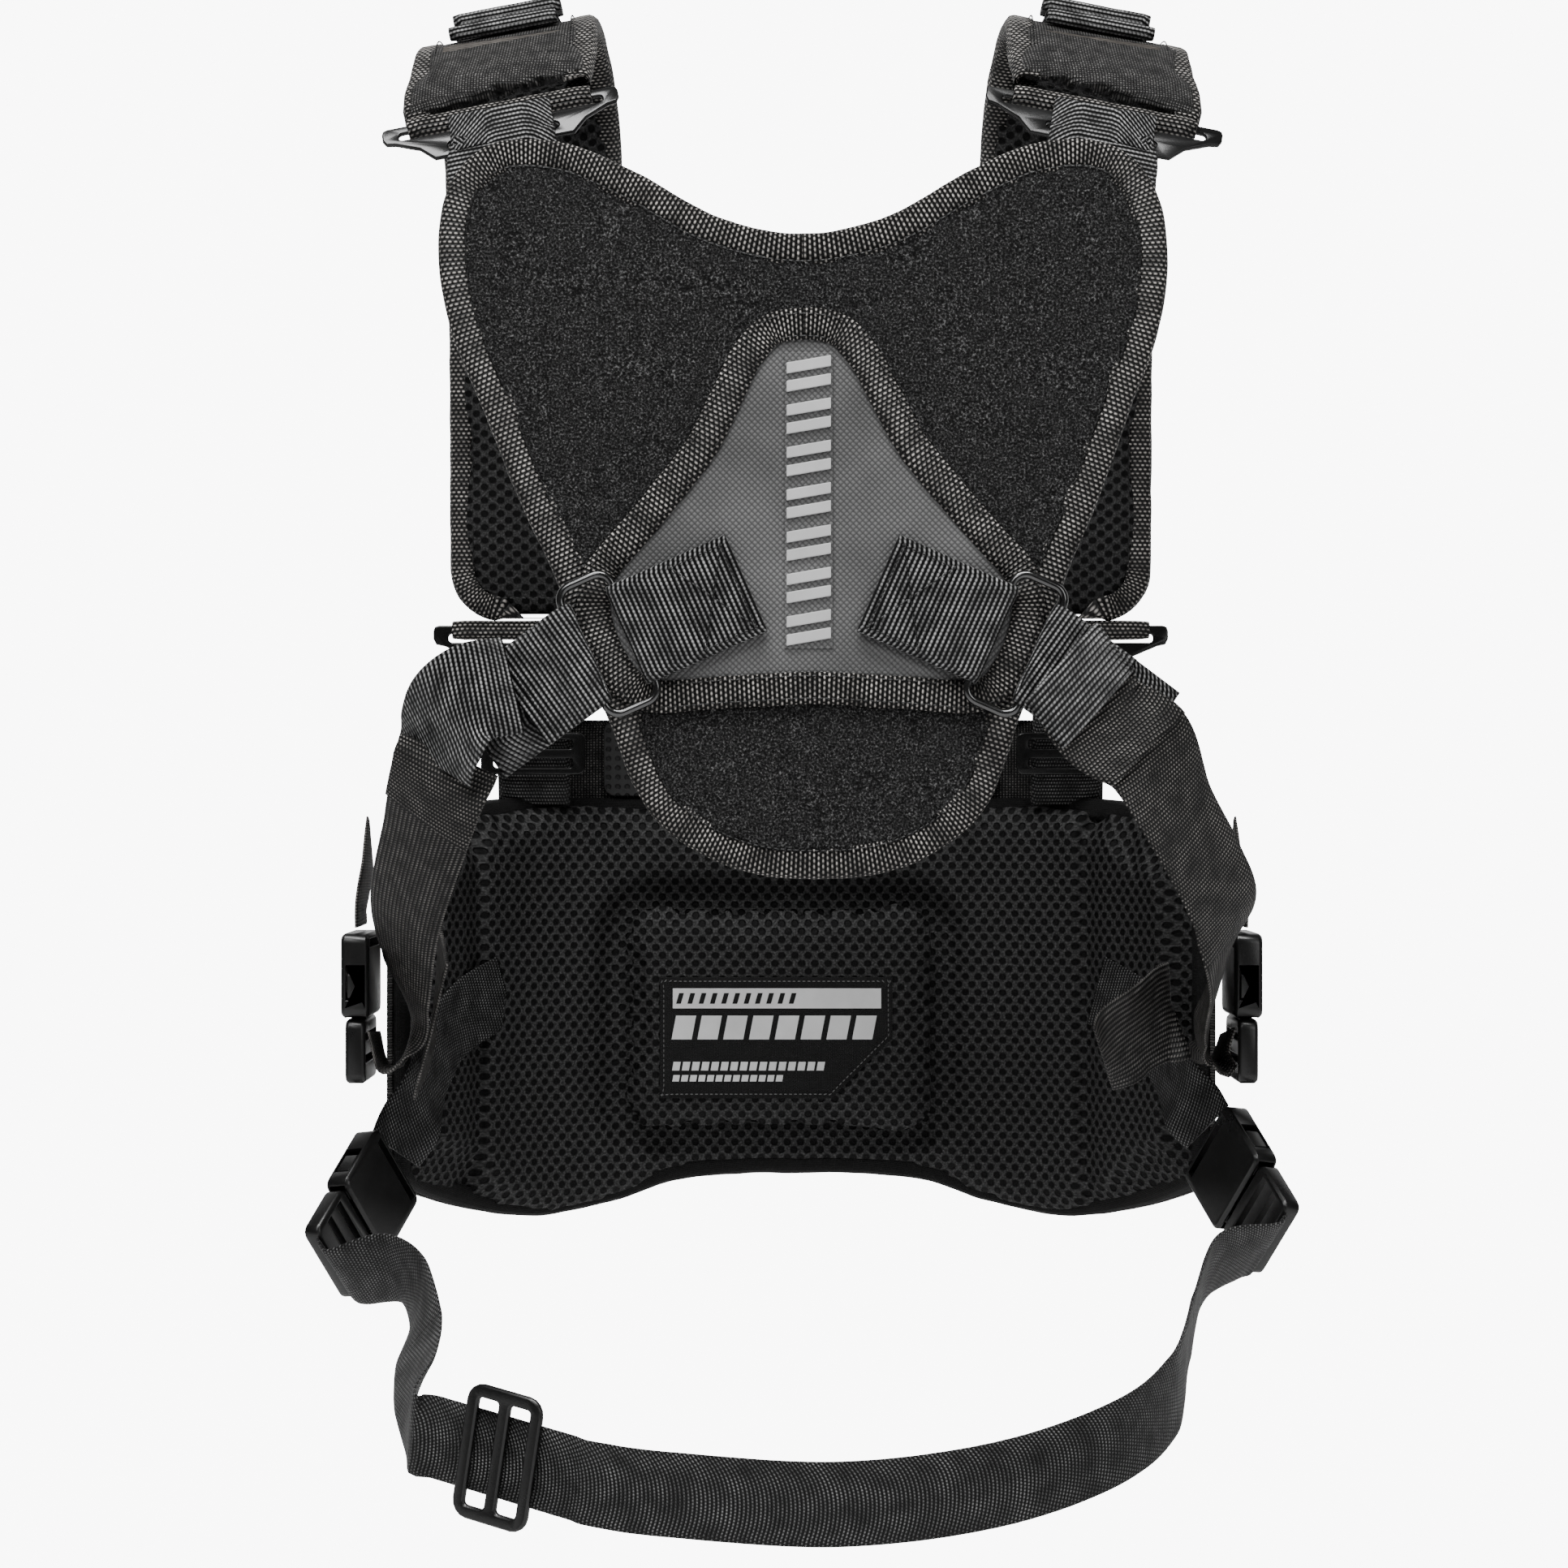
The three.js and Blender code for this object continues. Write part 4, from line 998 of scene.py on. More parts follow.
for side, letter in letters.items():
    route, fold = sideRoute[letter], folds[letter]
    if letter == "L":
        piece = webbing("strapFoldL", fold["route"], fold["across"], fold["width"], 1.8, "rows", 1.4,
                        wave=0.5)
    else:
        wide, deep = flat(fold["across"]), flat((0, -1, 0))
        mouth = [flat(fold["middle"]) + unit(wide) * 24.6 * math.cos(a) + deep * 4.6 * math.sin(a)
                 for a in np.linspace(0.02, 2 * math.pi - 0.02, 40)]
        piece = turned(webbing("strapFoldR", mouth, fold["axis"], fold["long"], 1.8, "rows", 1.4, wave=0.3))
    finished(piece, "yoke", "webbing")
    path = fold["start"] + route["path"][fold["skip"]:]
    across = fold["startAcross"] + route["across"][fold["skip"]:]
    for part, span in (("Upper", (0, sideBlend["cut"])), ("Lower", (sideBlend["cut"], 1))):
        weave = "rope" if (part == "Lower" or letter == "L") else "strap"
        piece = webbing("sideStrap" + part + letter, path, across, 50, 1.8, weave, 1.8, span=span)
        bodies = ("yoke", "chest") if part == "Upper" else ("chest", "side_plug_" + letter)
        finished(piece, "", "nylon", "side_strap_" + letter, bend=bodies + sideBlend[part.lower()])
    piece = webbing("strapHem" + letter, path, across, 50, 1.6, "strap", 1.6, span=(0, fold["hem"]), lift=1.9)
    finished(piece, "", "webbing", bend=("yoke", "chest") + sideBlend["upper"])
    piece = webbing("sideTail" + letter, route["tail"], route["tailAcross"], 50, 1.8, "rope", 1.8)
    finished(piece, "side_plug_" + letter, "nylon", "side_tail_" + letter)

    top = [(side * 218.5, 24, -396), (side * 219.5, 14, -411), (side * 221, 5.5, -427), (side * 221, 5, -437)]
    piece = webbing("sideAnchor" + letter, top, (0, 1, 0), 50, 1.8, "rope", 1.8)
    finished(piece, "chest", "nylon", "side_anchor_" + letter)
    rise = side * 6
    low = [(side * 155, 94, -474), (side * 174.5, 69.5, -486), (side * 186, 48.5, -504),
           (side * 195, 33, -528 + rise / 2), (side * 205.8, 26.2, -546 + rise)]
    turns = [(0, 0, -1)] * 4 + [(side * -0.39, 0.51, -0.77)]
    piece = webbing("beltAnchor" + letter, low, turns, 38, 1.8, "belt", 1.8)
    finished(piece, "chest", "nylon", "belt_anchor_" + letter)
print("side straps made")

# ---- buckles ----
for letter in ("L", "R"):
    for size in ("side", "belt"):
        smoothed(size + "Socket" + letter, f"{size}_socket_{letter}", "chest", "plastic", "plastic", 0.7)
        smoothed(size + "Plug" + letter, f"{size}_plug_{letter}", f"{size}_plug_{letter}", "plastic",
                 "plastic", 0.6)
        for hand in ("a", "b"):
            name = f"{size}_latch_{hand}_{letter}"
            smoothed(size + "Latch" + hand.upper() + letter, name, name, "plastic", "plastic", 0.6)
print("buckles made")

# ---- shoulder pads, hook plates, keepers, risers and front straps ----
shoulder = {"width": 92, "thick": 11, "rearX": 146, "frontX": 138, "slope": 11, "lean": 35, "bar": 4.5,
            "plate": 2.5,
            "wrap": 0.5, "loop": 2.2, "height": 25, "round": 26, "inner": 1, "rear": (-74,
                    -42), "front": (102, -285),
            "profile": [(-50, -17), (-28, -1), (0, 5.5), (30, 1), (60, -22), (80, -60), (92, -110),
                        (98, -170), (101, -230)]}
plateTurn = math.hypot(shoulder["bar"] / 2, shoulder["plate"] / 2) + shoulder["wrap"]


def rearPlate(side):
    slope, lean = math.radians(shoulder["slope"]), math.radians(shoulder["lean"])
    along = flat([math.cos(slope), 0, -side * math.sin(slope)])
    down = flat([0, -math.sin(lean), -math.cos(lean)])
    down = unit(down - along * (down @ along))
    return along, down, np.cross(along, -down), flat([side * shoulder["rearX"], *shoulder["rear"]])


def frontPlate(side):
    along, down = flat([1, 0, 0]), flat([0, 0, -1])
    return along, down, np.cross(along, -down), flat([side * shoulder["frontX"], *shoulder["front"]])


def step01(x, low, high):
    t = min(1, max(0, (x - low) / (high - low)))
    return t * t * (3 - 2 * t)


def stripRows(route, across, step):
    rows, marks = resample(np.hstack([flat(route), flat(across)]), step)
    place, side = rows[:, :3], rows[:, 3:]
    along = unit(np.gradient(place, axis=0))
    side = unit(side - (side * along).sum(1, keepdims=True) * along)
    return place, along, side, np.cross(along, side), marks


# a thick rounded strip, closed at both ends
def cushionStrip(name, rows, width, thick, finish, corner):
    place, along, side, face, marks = rows
    half, t = width / 2, thick / 2
    loop = []
    for a in np.linspace(0, 2 * math.pi, 40, endpoint=False):
        c, s = math.cos(a), math.sin(a)
        loop.append((half * np.sign(c) * abs(c) ** 0.28, t * np.sign(s) * abs(s) ** 0.5))
    verts = []
    for i in range(len(place)):
        left = min(marks[-1] - marks[i], corner) / corner
        narrow = 1 - corner / half * (1 - math.sqrt(max(0, 1 - (1 - left) ** 2)))
        verts += [(place[i] + side[i] * a * narrow + face[i] * b) * mm for a, b in loop]
    n, faces = len(loop), []
    for i in range(len(place) - 1):
        for k in range(n):
            a, b = i * n + k, i * n + (k + 1) % n
            faces.append((a, b, b + n, a + n))
    faces.append(tuple(range(n)))
    faces.append(tuple(reversed([(len(place) - 1) * n + k for k in range(n)])))
    return outwards(makePiece(name, verts, faces, finish))


def stripRule(rows):
    place, along, side, face, marks = rows

    def rule(p):
        near = np.argmin(((p[:, None] - place[None, ::2]) ** 2).sum(2), axis=1) * 2
        gap = p - place[near]
        u = marks[near] + (gap * along[near]).sum(1)
        return np.stack([u, (gap * side[near]).sum(1)], 1)

    return rule


# a second finish for the faces that look along a strip's face direction
def twoFaced(piece, rows, finish, sign):
    place, along, side, face, marks = rows
    piece.data.materials.append(finishes[finish])
    count = len(piece.data.polygons)
    middle, normal = np.empty(count * 3), np.empty(count * 3)
    piece.data.polygons.foreach_get("center", middle)
    piece.data.polygons.foreach_get("normal", normal)
    middle, normal = middle.reshape(-1, 3) / mm, normal.reshape(-1, 3)
    near = np.argmin(((middle[:, None] - place[None, ::2]) ** 2).sum(2), axis=1) * 2
    picked = ((normal * face[near]).sum(1) * sign > 0.1).astype(np.int32)
    piece.data.polygons.foreach_set("material_index", picked)


for side, letter in letters.items():
    rear, front = rearPlate(side), frontPlate(side)
    reach = plateTurn + 3.0
    middle, slopes = [], []
    for y, z in shoulder["profile"]:
        x = shoulder["rearX"] + (shoulder["frontX"] - shoulder["rearX"]) * step01(y, 0, 90)
        middle.append((side * x, y, z))
        angle = math.radians(shoulder["slope"]) * (1 - step01(y, 10, 90))
        slopes.append((math.cos(angle), 0, -side * math.sin(angle)))
    route = [rear[3] - rear[1] * reach, rear[3] - rear[1] * (reach + 8)] + middle
    route += [front[3] - front[1] * (reach + 8), front[3] - front[1] * reach]
    across = [rear[0], rear[0]] + slopes + [front[0], front[0]]
    rows = stripRows(route, across, 4.0)
    piece = cushionStrip("shoulderPad" + letter, rows, shoulder["width"] - 3, shoulder["thick"] - 3,
                         "cordura", shoulder["round"])
    piece = puffed(piece, padSettings["shoulderCell"], 5.0, 4.0)
    rule = stripRule(rows)
    mapped(piece, rule)
    twoFaced(piece, rows, "knit", shoulder["inner"])
    finished(piece, "chest", "mesh", "shoulder_pad_" + letter, padded=0.6)
    place, along, sideways, face, marks = rows
    long = marks[-1]

    def spot(u, v, lift=0.0):
        near = [np.interp(u, marks, part[:, c]) for part in (place, sideways, face) for c in range(3)]
        return flat(near[:3]) + flat(near[3:6]) * v + flat(near[6:]) * lift

    half, r = shoulder["width"] / 2 - 1.8, shoulder["round"]
    outline = [(u, -half) for u in np.linspace(0, long - r, 80)]
    outline += [(long - r + r * math.sin(a), -half + r - r * math.cos(a)) for a in np.linspace(0.05,
            math.pi / 2, 12)]
    outline += [(u, -v) for u, v in reversed(outline)]
    edge = flat([spot(u, v) for u, v in outline])
    flow = unit(np.gradient(flat(outline), axis=0))
    out = unit(flat([spot(u + b, v - a) - spot(u, v) for (u, v), (a, b) in zip(outline, flow)]))
    look_ = unit(flat([spot(u, v, 1) - spot(u, v) for u, v in outline]))
    piece = foldedTape("shoulderTape" + letter, edge, out, look_, 4.6, 11, closed=False, pucker=0.5)
    finished(piece, "chest", "tape")
    seam = [spot(u - b * 10.5, v + a * 10.5, lift) for lift in (6.0,) for (u, v),
            (a, b) in zip(outline, flow)]
    inner = [spot(u - b * 10.5, v + a * 10.5, -6.0) for (u, v), (a, b) in zip(outline, flow)]
    stitches("shoulderTapeStitch" + letter, [seam, inner], "chest", "thread", 3.2, 2.4, 0.4)
    strip = [spot(u, 0, -5.6) for u in np.linspace(32, 50, 9)]
    piece = webbing("padSatin" + letter, strip, [sideways[8]] * 9, 60, 0.8, "satin", 1.0, wave=0.3)
    finished(piece, "chest", "webbing")
    rollAt = spot(61, 0, -9.0)
    lifted, forward = unit(spot(61, 0, -10.0) - rollAt), unit(spot(58, 0, -9.0) - rollAt)
    strip = [spot(92, 0, -6.3), spot(80, 0, -6.6), spot(70, 0, -9.6)] + arcPoints(rollAt, forward, lifted,
                                                                                  2.9, 100, -150, 10)
    piece = webbing("padKeeperBase" + letter, strip, [sideways[15]] * len(strip), 54, 1.6, "rows", 1.2,
                    wave=0.2)
    finished(piece, "chest", "webbing")
    for plate, name in ((rear, "Rear"), (front, "Front")):
        along_, down, look, origin = plate
        roll = arcPoints(origin, -down, look, plateTurn + shoulder["loop"] / 2, 24, 336, 16)
        piece = webbing("padRoll" + name + letter, roll, along_, shoulder["width"] - 2, shoulder["loop"],
                        "tape", 1.2)
        finished(piece, "chest", "tape")
    smoothed("rearHook" + letter, "rear_hook_" + letter, "rear_hook_" + letter, "plate", "steel", 0.35)
    smoothed("frontHook" + letter, "front_hook_" + letter, "chest", "plate", "steel", 0.35)
    smoothed("frontAdjuster" + letter, "front_adjuster_" + letter, "chest", "plate", "steel", 0.35)

    slope = math.radians(shoulder["slope"])
    along_ = flat([math.cos(slope), 0, -side * math.sin(slope)])
    lift = unit(flat([0, 0, 1]) - along_ * along_[2])
    back = -np.cross(along_, lift)
    centre = flat([side * shoulder["rearX"], -12, shoulder["thick"] + 5.2])
    route = arcPoints(centre + back * 8, back, lift, 3, -90, 90, 6) + arcPoints(centre - back * 8, back,
                                                                                lift, 3, 90, 262, 6)
    route.append(centre + back * 5.5 + lift * -2.6)
    piece = webbing("padKeeper" + letter, route, along_, 54, 1.8, "rows", 1.2)
    finished(piece, "chest", "nylon", "pad_keeper_" + letter)

    along_, down, look, origin = rear
    bar = origin + down * (shoulder["height"] - shoulder["bar"])
    radius = plateTurn + 0.9
    route = [bar + down * 4 + look * 3.4, bar + look * 4.4, bar - down * 9 + look * 5.2,
             origin + look * 6.8 + down * 3]
    route = [(side * 138, -102.3, -96), (side * 141, -101.5, -82), (side * 145, -95, -69)] + route[-4:]
    across = [(1, 0, -side * 0.1), (1, 0, -side * 0.15)] + [along_] * (len(route) - 2)
    piece = webbing("yokeRiser" + letter, route, across, 50, 1.8, "rows", 1.4, wave=0.4)
    finished(piece, "yoke", "nylon", "yoke_riser_" + letter)

    origin = front[3]
    barZ = origin[2] - shoulder["height"] + shoulder["bar"]
    bar = flat([side * 139.5, origin[1], barZ])
    route = arcPoints(bar, (0, 0, 1), behind, radius, 60, -120, 8)
    route += [(side * 141, origin[1] + 5, barZ - 14), (side * 141, origin[1] + 11, -350),
              (side * 141, origin[1] + 18, -377)]
    piece = webbing("frontStrap" + letter, route, (1, 0, 0), 38, 1.8, "belt", 1.6)
    finished(piece, "chest", "nylon", "front_strap_" + letter)
print("shoulders made")

# ---- chest panel ----
panel = {
    "plan": [(0, 128), (70, 128), (105, 126), (135, 114), (160, 95), (180, 71), (192, 50), (196, 39)],
    "half": [(0, -374), (75, -374), (150, -374), (184, -383), (206, -405), (222, -442), (224, -492),
             (218, -532),
             (201, -564), (176, -584), (138, -595), (100, -589), (68, -578), (30, -574), (0, -574)],
    "shellNear": 14.4, "shellFar": 17.4, "rise": 44, "riseHalf": 118,
    "channels": (-172, 153), "channelDepth": 7.5, "channelWidth": 7.0, "roll": 16, "rollDepth": 8.5,
}
planRows, planMarks = resample([(-x, y, 0) for x, y in reversed(panel["plan"][1:])] + [(x, y, 0) for x,
        y in panel["plan"]], 1.0)
planMarks = planMarks - planMarks[-1] / 2
planAlong = unit(np.gradient(planRows, axis=0))


# the panel's surface: s runs along the plan curve, d is the distance in front of it
def panelPoint(s, z, d):
    x = np.interp(s, planMarks, planRows[:, 0]) - np.interp(s, planMarks, planAlong[:, 1]) * d
    y = np.interp(s, planMarks, planRows[:, 1]) + np.interp(s, planMarks, planAlong[:, 0]) * d
    return np.stack([x, y, z], 1)


def planArc(x):
    return np.interp(x, planRows[:, 0], planMarks)


def panelRule(p):
    near = np.argmin(((p[:, None, :2] - planRows[None, ::2, :2]) ** 2).sum(2), axis=1) * 2
    gap = ((p[:, :2] - planRows[near, :2]) * planAlong[near, :2]).sum(1)
    return np.stack([planMarks[near] + gap, p[:, 2]], 1)


panelEdge = outlineOf(panel["half"], 480, lambda z: z * 0)
panelEdge[:, 0] = np.clip(panelEdge[:, 0], -205, 205)
arcEdge = np.stack([planArc(np.clip(panelEdge[:, 0], -195.5, 195.5)), panelEdge[:, 1]], 1)
inner = inset(arcEdge, 1.6)


def rolled(s, z):
    far = np.min(np.linalg.norm(np.stack([s, z], 1)[:, None] - inner[None, ::2], axis=2),
                 axis=1) / panel["roll"]
    return panelPoint(s, z, 1.2 + panel["rollDepth"] * (1 - np.sqrt(1 - (1 - np.minimum(far, 1)) ** 2)))


piece = sheetSolid("frontPad", inner, 5.0, rolled, lambda s, z: panelPoint(s, z, 12.4), "knit")
piece = puffed(piece, padSettings["panelCell"], 6.0, 5.0)


centre = {"x": -11, "z": -490, "w": 178, "h": 132, "corner": 24, "depth": 10.9,
          "groove": 8.0, "seat": 124.6}


def rounded(x, z, w, h, r, per=14):
    line = []
    for cx, cz, start in ((1, 1, 0), (-1, 1, 90), (-1, -1, 180), (1, -1, 270)):
        for a in np.radians(np.linspace(start, start + 90, per)):
            line.append((x + cx * (w / 2 - r) + r * math.cos(a), z + cz * (h / 2 - r) + r * math.sin(a)))
    return flat(line)


def withChannels(p):
    p = p.copy()
    uv = panelRule(p)
    for x in panel["channels"]:
        far = np.abs(uv[:, 0] - planArc(x)) / panel["channelWidth"]
        inside = p[:, 1] < np.interp(uv[:, 0], planMarks, planRows[:, 1]) + 7
        p[:, 1] += np.where(inside, panel["channelDepth"] * np.exp(-far ** 2), 0)
    ground = np.interp(uv[:, 0], planMarks, planRows[:, 1])
    near = p[:, 1] < ground + 7
    dx = np.abs(p[:, 0] - centre["x"]) - centre["w"] / 2 + centre["corner"]
    dz = np.abs(p[:, 2] - centre["z"]) - centre["h"] / 2 + centre["corner"]
    away = np.hypot(np.maximum(dx, 0), np.maximum(dz, 0)) + np.minimum(np.maximum(dx, dz),
                                                                       0) - centre["corner"]
    sunk = np.where(away < 0, 1.0, np.exp(-(away / centre["groove"]) ** 2))
    p[:, 1] = np.where(near, p[:, 1] + (ground + 4.5 - p[:, 1]) * sunk, p[:, 1])
    crease = soft(uv[:, 0], uv[:, 1] * 0.4, 0.05, 7.0)
    p[:, 1] += 1.3 * crease * (1 - sunk)
    return p


moved(piece, withChannels)
mapped(piece, panelRule)
finished(piece, "chest", "mesh", "front_pad", padded=0.6)

edge = panelPoint(inset(arcEdge, 1.8)[:, 0], inset(arcEdge, 1.8)[:, 1], 11.5)
way = outwardOf(arcEdge)
ahead = panelPoint(arcEdge[:, 0] + way[:, 0], arcEdge[:, 1] + way[:, 1], 7.5) - panelPoint(arcEdge[:, 0],
        arcEdge[:, 1], 7.5)
facing = panelPoint(arcEdge[:, 0], arcEdge[:, 1], 6.5) - panelPoint(arcEdge[:, 0], arcEdge[:, 1], 7.5)
piece = foldedTape("panelBinding", edge, unit(ahead), unit(facing), 3.4, 9, "lining", thick=1.2)
finished(piece, "chest", "tape")

shellEdge = arcEdge.copy()
keep = ~((shellEdge[:, 1] > -380) & (np.abs(shellEdge[:, 0]) < panel["riseHalf"] + 9))
gap = int(np.argmax(~keep & np.roll(keep, 1)))
shellEdge = np.roll(shellEdge, -gap, 0)
keep = np.roll(keep, -gap)
body_ = shellEdge[keep]
riseTop = panel["half"][0][1] + panel["rise"] - 2
first = 1 if body_[-1][0] > 0 else -1
half_ = panel["riseHalf"] + 5
corner = [(first * (half_ + 3), -373), (first * half_, riseTop - 4), (first * (half_ - 4), riseTop),
          (-first * (half_ - 4), riseTop), (-first * half_, riseTop - 4), (-first * (half_ + 3), -373)]
shellEdge = np.vstack([body_, corner])
piece = sheetSolid("frontShell", shellEdge, 8.0, lambda s, z: panelPoint(s, z, panel["shellNear"] + 0.2),
                   lambda s, z: panelPoint(s, z, panel["shellFar"]), "cordura")
finished(piece, "chest", "nylon", "front_shell")
for i in range(4):
    z = panel["half"][0][1] - 38 - i * 38
    reach_ = 205 - 12 * max(0, i - 2)
    s = np.linspace(-reach_, reach_, 60)
    route = panelPoint(s, np.full(60, float(z)), panel["shellFar"] + 1.2)
    piece = webbing(f"panelRow{i}", route, (0, 0, 1), 25, 1.4, "belt", 3.0)
    finished(piece, "chest", "webbing")
    tacks = [[panelPoint(flat([x]), flat([z + dz]), panel["shellFar"] + 2.2)[0] for dz in (-10.5,
            10.5)] for x in np.arange(-190, 191, 38.0)]
    stitches(f"panelRowTack{i}", tacks, "chest", "thread", 1.3, 1.6, 0.8)
smoothed("placardPlate", "placard", "chest", "coated", "dotted", 0.5)
print("panel made")

def crown(outline):
    def face(x, z):
        far = np.min(np.linalg.norm(np.stack([x, z], 1)[:, None] - outline[None], axis=2), axis=1)
        return np.stack([x, centre["seat"] - 9.0 * np.sqrt(np.clip(1 - (1 - np.minimum(far / 21, 1)) ** 2,
                                                                   0, 1)),
                         z], 1)
    return face


line = rounded(centre["x"], centre["z"], centre["w"] - 6, centre["h"] - 6, centre["corner"] - 3)
dense, _ = resample(np.hstack([line, np.zeros((len(line), 1))]), 4.0, closed=True)
dense = dense[:, :2]
piece = sheetSolid("centrePad", dense, 5.0, crown(dense), level(124.8), "knit")
piece = puffed(piece, padSettings["centreCell"], 6.0, 4.0)
depth = centre["seat"] - min(v.co.y for v in piece.data.vertices) / mm
moved(piece, lambda p: np.stack([p[:, 0], centre["seat"] - np.clip(centre["seat"] - p[:, 1], -1,
                                                          None) * centre["depth"] / depth, p[:, 2]], 1))
mapped(piece, lambda p: p[:, [0, 2]] + flat([3.0, 1.0]))
finished(piece, "chest", "mesh", "centre_pad", padded=0.8)

label = {"x": -13, "z": -500, "w": 123, "h": 64, "cut": 32}
w, h, c = label["w"] / 2, label["h"] / 2, label["cut"]
corners = [(-w, -h), (w - c, -h), (w, c - h), (w, h), (-w, h), (-w, -h)]
line = np.vstack([np.linspace(corners[i], corners[i + 1], 12,
                              endpoint=False) for i in range(5)]) + flat([label["x"], label["z"]])
piece = sheetSolid("labelCloth", line, 6.0, level(112.9), level(113.8), "label")
finished(piece, "chest", "label", "label")
stitches("labelStitch", [rim(np.vstack([inset(line, 2.2), inset(line, 2.2)[:1]]), 112.8)], "chest",
         "paleThread", 2.6, 1.8, 0.32)


def printed(name, rows, near, finish):
    shapes = []
    for x, z, wide, high, count, gap, lean in rows:
        each = (wide - gap * (count - 1)) / count
        for i in range(count):
            shapes.append(slanted(x + each / 2 + i * (each + gap), z, each, high, 0, lean))
    finished(roundedBars(name, shapes, near, near + 0.25, finish, 0), "chest", "label")


printed("labelPrint", [(-67.5, -479.2, 110, 10.6, 1, 0, 0), (-67, -494.6, 106, 12.6, 8, 3.0, 1.2),
                       (-67.5, -515, 80, 4.6, 16, 1.3, 0.4), (-67.5, -521.4, 58, 3.4, 13, 1.1,
                                                              0.3)], 112.62, "print")
printed("labelMarks", [(-65, -479.2, 62, 5.6, 11, 3.4, 0.8)], 112.5, "label")
print("centre pad made")

# ---- waist belt ----
belt = {
    "left": [(-230.5, -31.5, -601), (-228.5, -40, -605), (-222, -48, -607), (-198, -66, -601),
             (-184, -90, -610), (-181, -120, -628), (-180, -152, -645)],
    "leftAcross": [(-0.39, -0.51, 0.77)] * 3 + [(-0.2, -0.3, 0.93), (0.1, 0, 1), (0.45, 0.2, 0.85),
                                                (0.4, 0.2, 0.88)],
    "right": [(-60, -236, -681), (15, -238, -685), (85, -229, -678), (140, -203, -664), (170, -165, -648),
              (183, -120, -623), (196, -82, -599), (221, -50, -594.5),
              (228.5, -40, -593), (230.5, -31.5, -589)],
    "rightAcross": [(0, 0, 1)] * 5 + [(0.1, -0.1, 1), (0.2, -0.3, 0.93)] + [(0.39, -0.51, 0.77)] * 3,
    "slider": (-136, -207, -669), "run": (0.865, -0.4725, -0.171), "width": 38, "ply": 1.8,
    "cuts": (0.155, 0.85),
}
run = unit(flat(belt["run"]))
stops = [flat(belt["slider"]) + run * u for u in (-49, -35, 0, 35, 49)]
route = [flat(p) for p in belt["left"]] + stops + [flat(p) for p in belt["right"]]
across = [flat(p) for p in belt["leftAcross"]] + [flat([0, 0,
                                                        1])] * 5 + [flat(p) for p in belt["rightAcross"]]
a, b = belt["cuts"]
piece = webbing("beltMain", route, across, belt["width"], belt["ply"], "belt", 2.0, span=(a, b))
finished(piece, "chest", "webbing", "belt_webbing")
piece = webbing("beltEndL", route, across, belt["width"], belt["ply"], "belt", 2.0, span=(0, a))
finished(piece, "", "webbing", "belt_end_L", bend=("chest", "belt_plug_L", (-181, -120, -628),
                                                   (-205, -60, -602)))
piece = webbing("beltEndR", route, across, belt["width"], belt["ply"], "belt", 2.0, span=(b, 1))
finished(piece, "", "webbing", "belt_end_R", bend=("chest", "belt_plug_R", (183, -120, -623),
                                                   (205, -65, -597)))
smoothed("beltSlider", "belt_slider", "belt_slider", "plastic", "plastic", 0.7)
print("belt made")

# ---- stage ----
stageSettings = {"floor": -1.06, "white": 0.9, "glow": 8.0, "spill": 0.05, "key": 24, "fill": 11, "top": 62,
                 "world": 0.08}


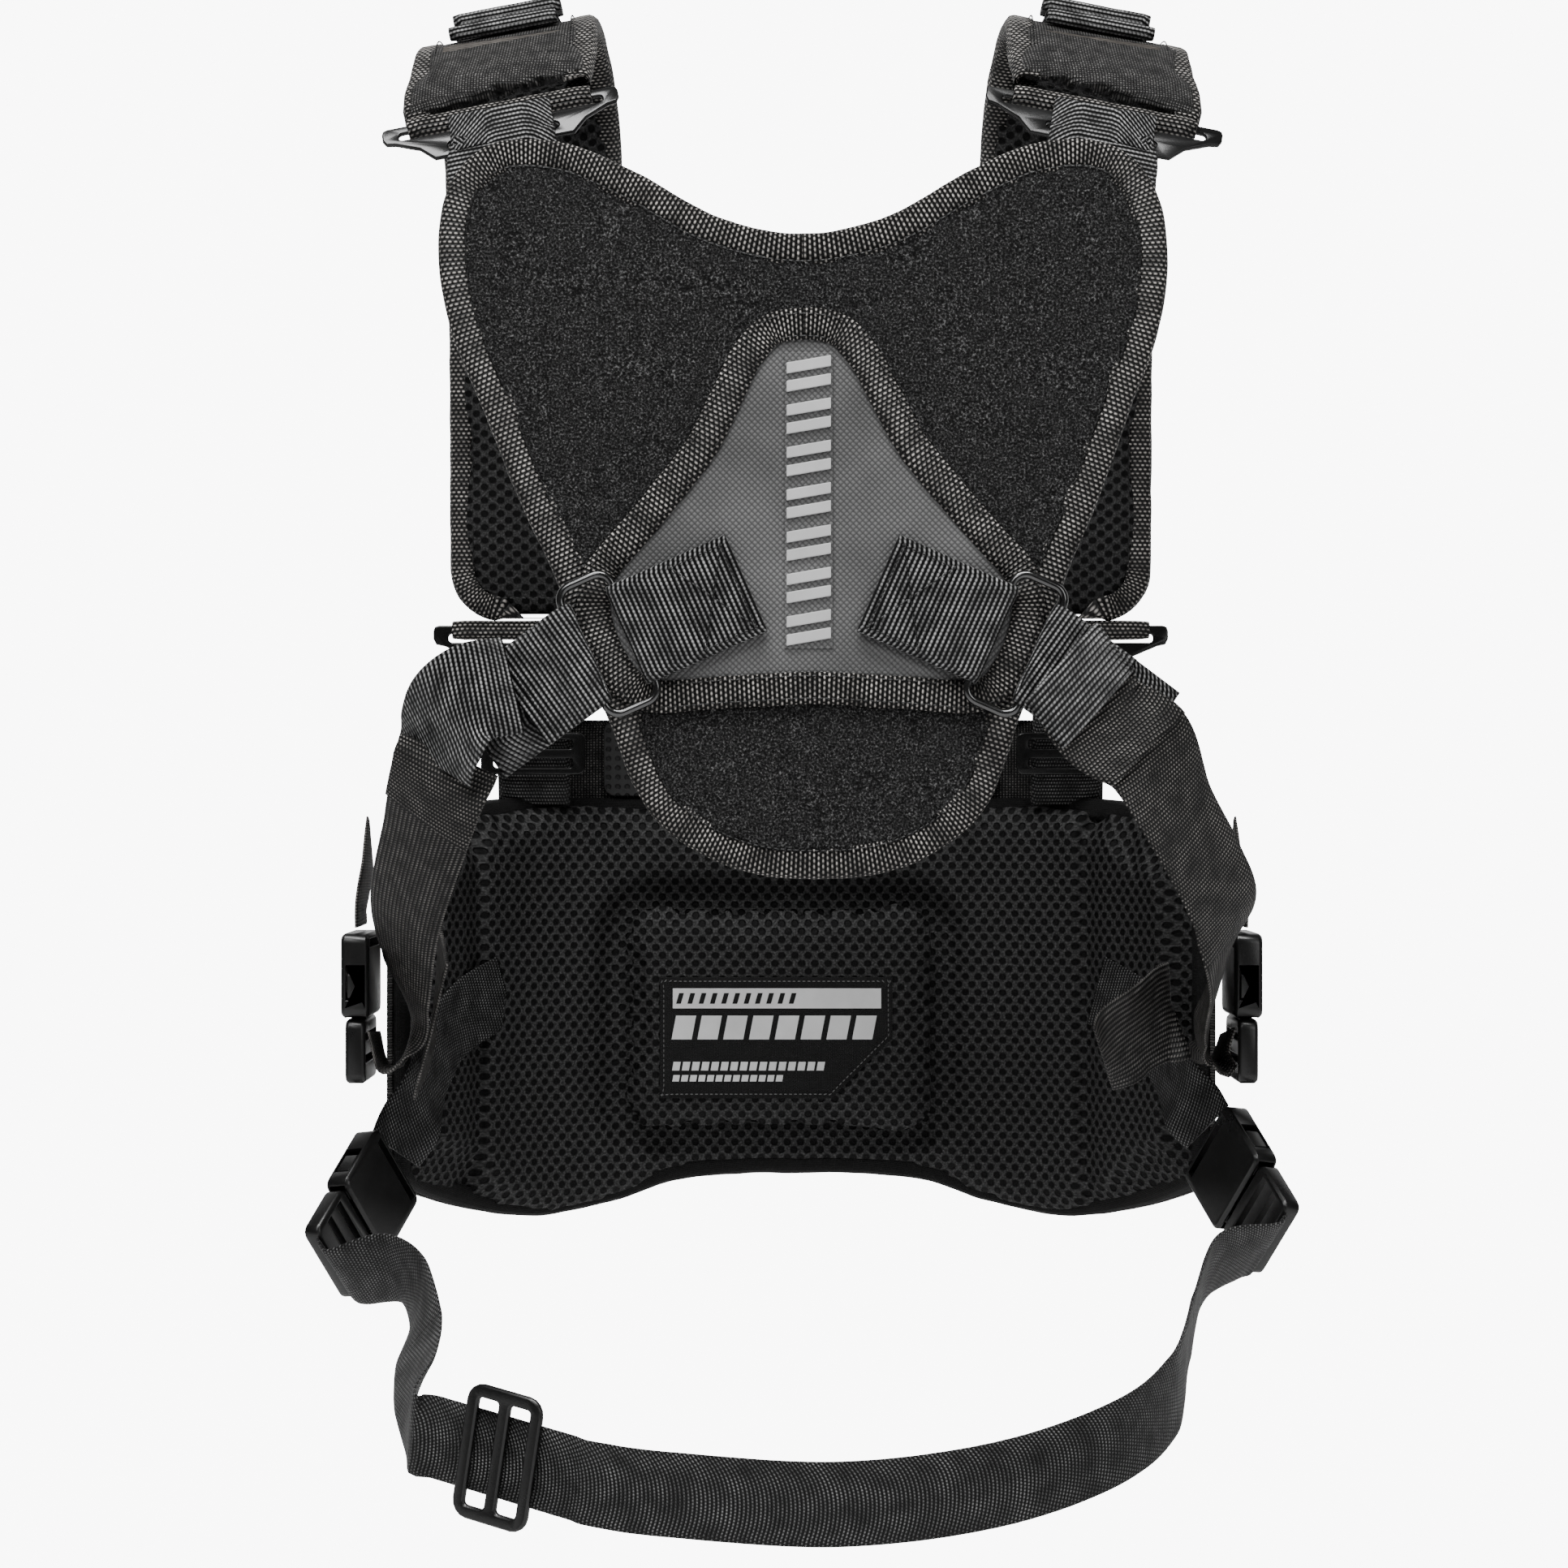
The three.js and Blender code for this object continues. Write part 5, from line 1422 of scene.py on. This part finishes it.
def stageSheet():
    rows = []
    for y, z in ((-4.0, stageSettings["floor"]), (1.4, stageSettings["floor"])):
        rows.append((y, z))
    for a in np.radians(np.linspace(-90, 0, 14)):
        rows.append((1.4 + 1.2 * math.cos(a), stageSettings["floor"] + 1.2 + 1.2 * math.sin(a)))
    rows.append((2.6, 3.2))
    verts = [(x, y, z) for y, z in rows for x in (-5.0, 5.0)]
    faces = [(2 * i, 2 * i + 1, 2 * i + 3, 2 * i + 2) for i in range(len(rows) - 1)]
    mesh = bpy.data.meshes.new("floor")
    mesh.from_pydata(verts, [], faces)
    mesh.polygons.foreach_set("use_smooth", [True] * len(faces))
    sheet = bpy.data.objects.new("floor", mesh)
    bpy.context.scene.collection.objects.link(sheet)
    plain = bpy.data.materials.new("plainFloor")
    plain.use_nodes = True
    shader = plain.node_tree.nodes["Principled BSDF"]
    shader.inputs["Base Color"].default_value = grey(stageSettings["white"])
    shader.inputs["Roughness"].default_value = 0.9
    shader.inputs["Emission Color"].default_value = (1, 1, 1, 1)
    _, axes = objectCoordinates(plain.node_tree)
    wall = spread(axes[1], 1.2, 1.7)
    eye = plain.node_tree.nodes.new("ShaderNodeLightPath").outputs["Is Camera Ray"]
    seen = plus(eye, times(wall, stageSettings["spill"]))
    glow = times(seen, stageSettings["glow"])
    put(glow, shader.inputs["Emission Strength"])
    mesh.materials.append(plain)
    sheet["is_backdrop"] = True


def areaLight(name, place, aim, size, power):
    lamp = bpy.data.lights.new(name, "AREA")
    lamp.shape = "RECTANGLE"
    lamp.size, lamp.size_y = size
    lamp.energy = power
    lamp_ = bpy.data.objects.new(name, lamp)
    lamp_.location = place
    lamp_.rotation_euler = (Vector(aim) - Vector(place)).to_track_quat("-Z", "Y").to_euler()
    bpy.context.scene.collection.objects.link(lamp_)


stageSheet()
areaLight("key", (-0.9, -2.2, 1.3), (0, 0, -0.35), (1.2, 0.9), stageSettings["key"])
areaLight("fill", (1.4, -2.0, 0.5), (0, 0, -0.35), (1.0, 1.4), stageSettings["fill"])
areaLight("top", (-0.2, -0.9, 1.7), (0, 0.05, -0.4), (1.6, 0.6), stageSettings["top"])
world = bpy.data.worlds.new("studio")
world.use_nodes = True
world.node_tree.nodes["Background"].inputs[0].default_value = (1, 1, 1, 1)
eye = world.node_tree.nodes.new("ShaderNodeLightPath").outputs["Is Camera Ray"]
sky = plus(times(eye, stageSettings["glow"]), stageSettings["world"])
put(sky, world.node_tree.nodes["Background"].inputs[1])
bpy.context.scene.world = world

low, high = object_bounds()
print("size", [round(v, 4) for v in low], [round(v, 4) for v in high])
